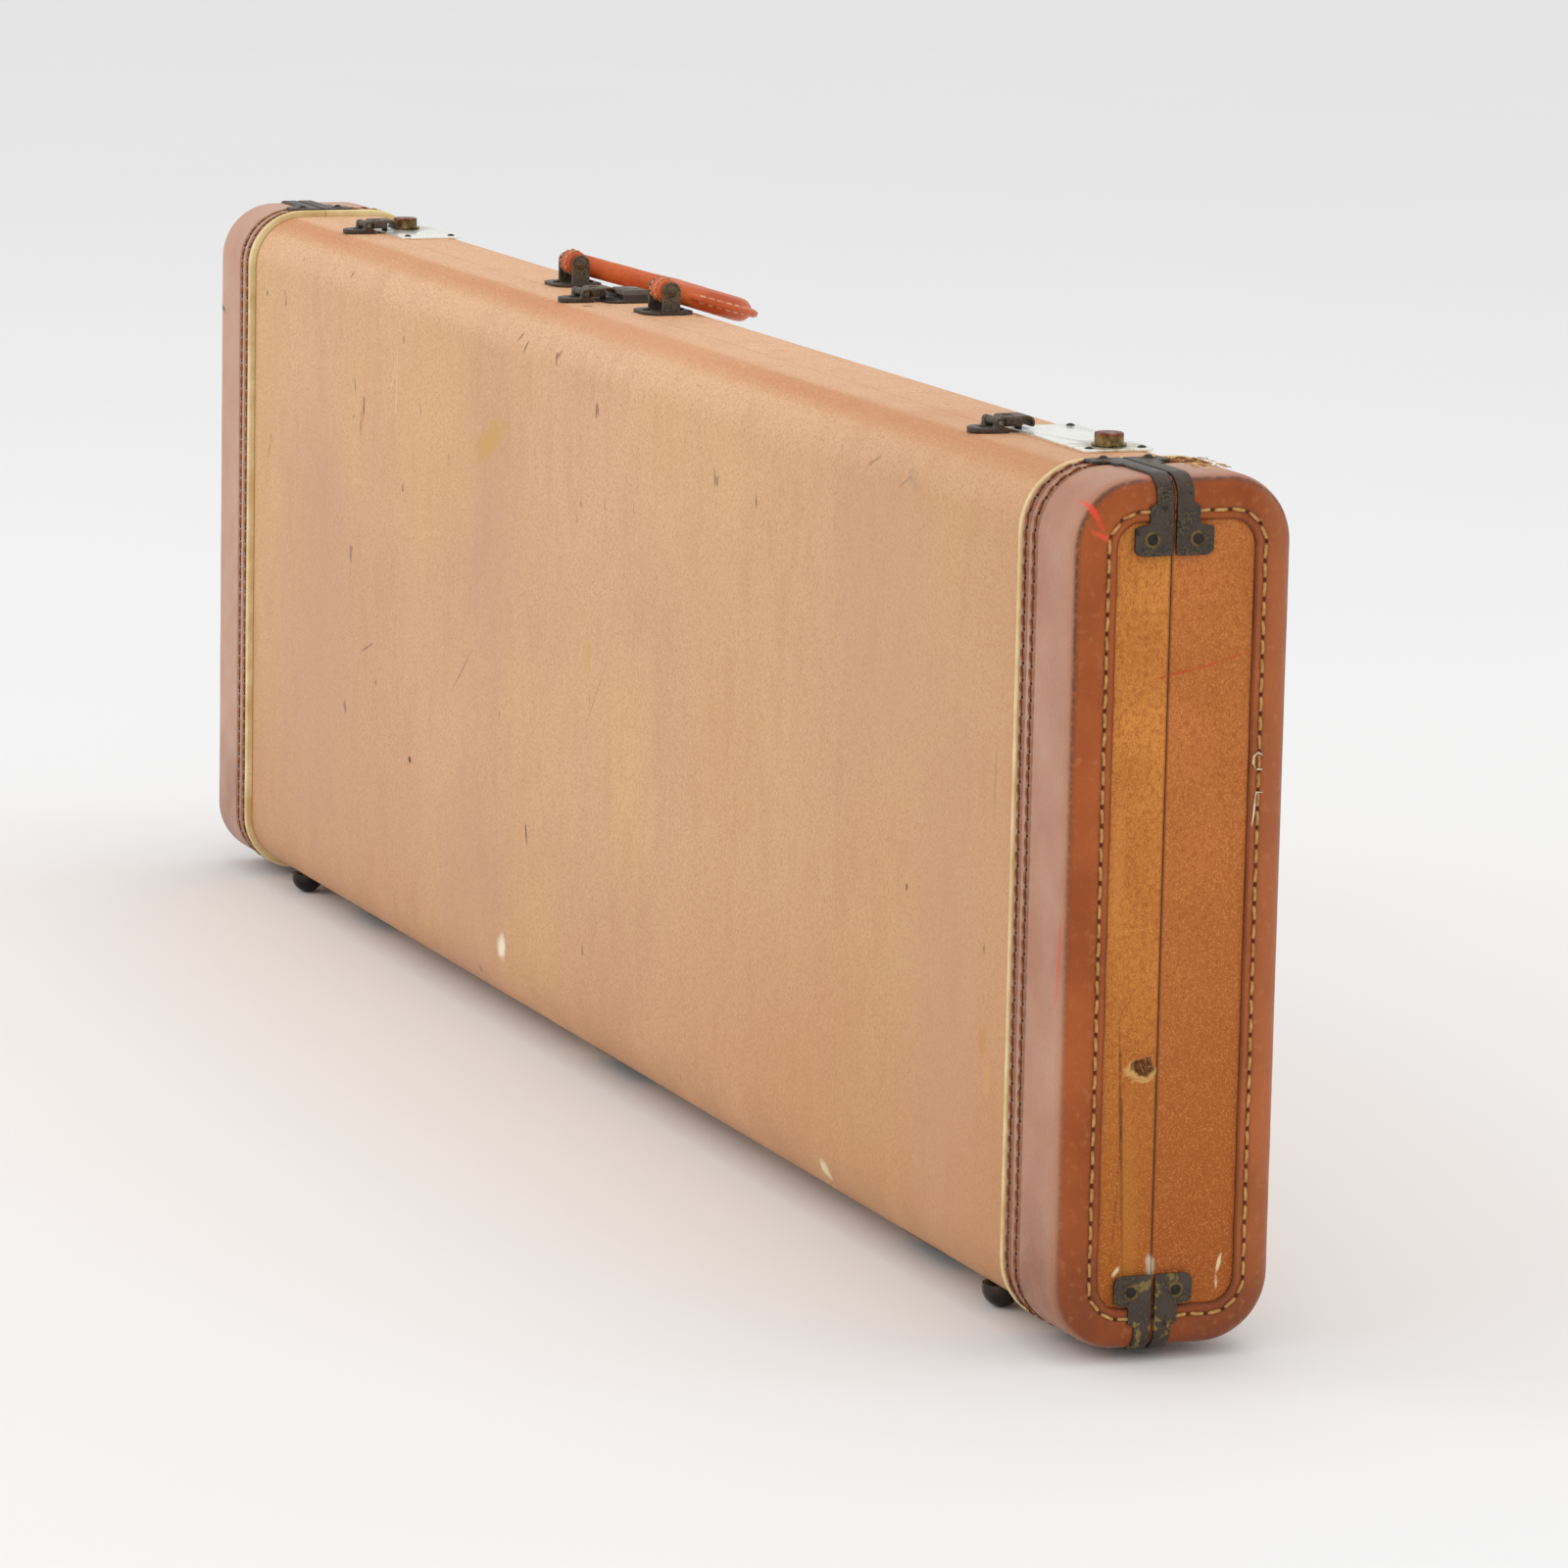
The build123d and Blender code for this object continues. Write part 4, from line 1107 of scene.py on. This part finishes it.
# ---- plush pads
def crowned_pad(node, face, channels):
    """Thin plush pad: pulled in at its edges, with sewn channels, flat on the panel behind it."""
    low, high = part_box(node)
    back, front = (high.y, low.y) if face < 0 else (low.y, high.y)
    columns, rows = 150, 44
    edge = 22 * MM

    def height(x, z):
        inward = min(x - low.x, high.x - x, z - low.z, high.z - z)
        dome = smooth_step(inward, -2 * MM, edge)
        sewn = min(abs(x - place) for place in channels)
        dome *= 1 - 0.38 * math.exp(-((sewn / (5 * MM)) ** 2))
        ripple = 0.05 * noise.noise(Vector((x * 14, z * 14, 3)))
        return max(0.12, min(1.0, 0.22 + 0.74 * dome + ripple))

    bm = bmesh.new()
    along = [low.x + (high.x - low.x) * column / columns for column in range(columns + 1)]
    upward = [low.z + (high.z - low.z) * row / rows for row in range(rows + 1)]
    grid = [[(x, z) for z in upward] for x in along]
    thick = front - back
    tops = [[bm.verts.new((x, back + thick * height(x, z), z)) for x, z in line] for line in grid]
    backs = [[bm.verts.new((x, back, z)) for x, z in line] for line in grid]
    for layer in (tops, backs):
        for line, after in zip(layer, layer[1:]):
            for index in range(rows):
                bm.faces.new((line[index], line[index + 1], after[index + 1], after[index]))

    def rim(layer):
        far, near = [line[-1] for line in layer[1:]], [line[0] for line in layer[-2:0:-1]]
        return [*layer[0], *far, *layer[-1][-2::-1], *near]

    rim_top, rim_back = rim(tops), rim(backs)
    count = len(rim_top)
    for index in range(count):
        step = (index + 1) % count
        bm.faces.new((rim_top[index], rim_top[step], rim_back[step], rim_back[index]))
    body = NODES[node]["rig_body"]
    pad = piece(f"{node}_plush", bm, "padding", body, "padding", [node], 70)


def soft_block(node, voxel, rounds):
    """Padded block: the CAD solid with its edges and faces relaxed into a stuffed shape."""
    source = NODES[node]
    mesh = relaxed(source.data.copy(), voxel, rounds)
    low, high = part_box(node)
    for vertex in mesh.vertices:
        vertex.co += vertex.normal * (0.5 * MM + 0.5 * MM * noise.noise(vertex.co * 45))
        vertex.co.y = min(high.y, max(low.y, vertex.co.y))
    pad = piece(f"{node}_plush", mesh, "padding", source["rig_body"], "padding", [node], 70)


CHANNELS = (-0.42, -0.14, 0.14, 0.42)
crowned_pad("base_pad", -1, CHANNELS)
crowned_pad("lid_pad", 1, CHANNELS)
for block in ("neck_rest", "headstock_rest", "bout_pads", "waist_pads"):
    soft_block(block, 3.5 * MM, 9)


# ---- finishes for the CAD nodes that stay
for node, slot in SLOTS.items():
    kept = NODES[node]
    kept.data.materials.clear()
    look = "rivet" if node.endswith("rivets") else slot
    kept.data.materials.append(LOOKS[look].material)


# ---- room, lights, camera
def floor():
    mesh = bpy.data.meshes.new("floor")
    mesh.from_pydata([(-9, -9, 0), (9, -9, 0), (9, 9, 0), (-9, 9, 0)], [], [(0, 1, 2, 3)])
    look = Look("pale_floor", roughness=0.85)
    look.colour(look.mix(look.noise(2, 2), (246, 246, 246), (243, 243, 243)))
    mesh.materials.append(look.material)
    add_object("floor", mesh)


def soft_light(name, place, aim, size, power):
    data = bpy.data.lights.new(name, "AREA")
    data.shape, data.size, data.energy = "DISK", size, power
    obj = add_object(name, data)
    obj.location = place
    obj.rotation_euler = (Vector(aim) - Vector(place)).to_track_quat("-Z", "Y").to_euler()


floor()
soft_light("key", (-1.6, -3.4, 2.6), (0, 0, 0.2), 2.6, 25)
soft_light("side", (3.6, -1.6, 2.2), (0.4, 0, 0.2), 2.2, 9)
soft_light("above", (0.3, 0.6, 3.2), (0, 0, 0.2), 2.6, 14)
world = bpy.data.worlds.new("studio")
world.use_nodes = True
world.node_tree.nodes["Background"].inputs["Color"].default_value = (1, 1, 1, 1)
world.node_tree.nodes["Background"].inputs["Strength"].default_value = 0.84
bpy.context.scene.world = world
bpy.context.scene.view_settings.view_transform = "Standard"

CAMERA_PLACE, CAMERA_LENS = (3.1153, -1.1719, 0.7202), 166.13
azimuth, elevation, roll = math.radians(68.463), math.radians(9.936), math.radians(1.1556)
level_part = math.cos(elevation)
back = Vector((math.sin(azimuth) * level_part, -math.cos(azimuth) * level_part, math.sin(elevation)))
level = Vector((0, 0, 1)).cross(back).normalized()
upright = back.cross(level)
right = level * math.cos(roll) + upright * math.sin(roll)
up = upright * math.cos(roll) - level * math.sin(roll)
lens = bpy.data.cameras.new("camera")
lens.sensor_width, lens.lens, lens.clip_end = 36, CAMERA_LENS, 100
camera = add_object("camera", lens)
facing = Matrix((right, up, back)).transposed().to_4x4()
camera.matrix_world = Matrix.Translation(CAMERA_PLACE) @ facing
bpy.context.scene.camera = camera
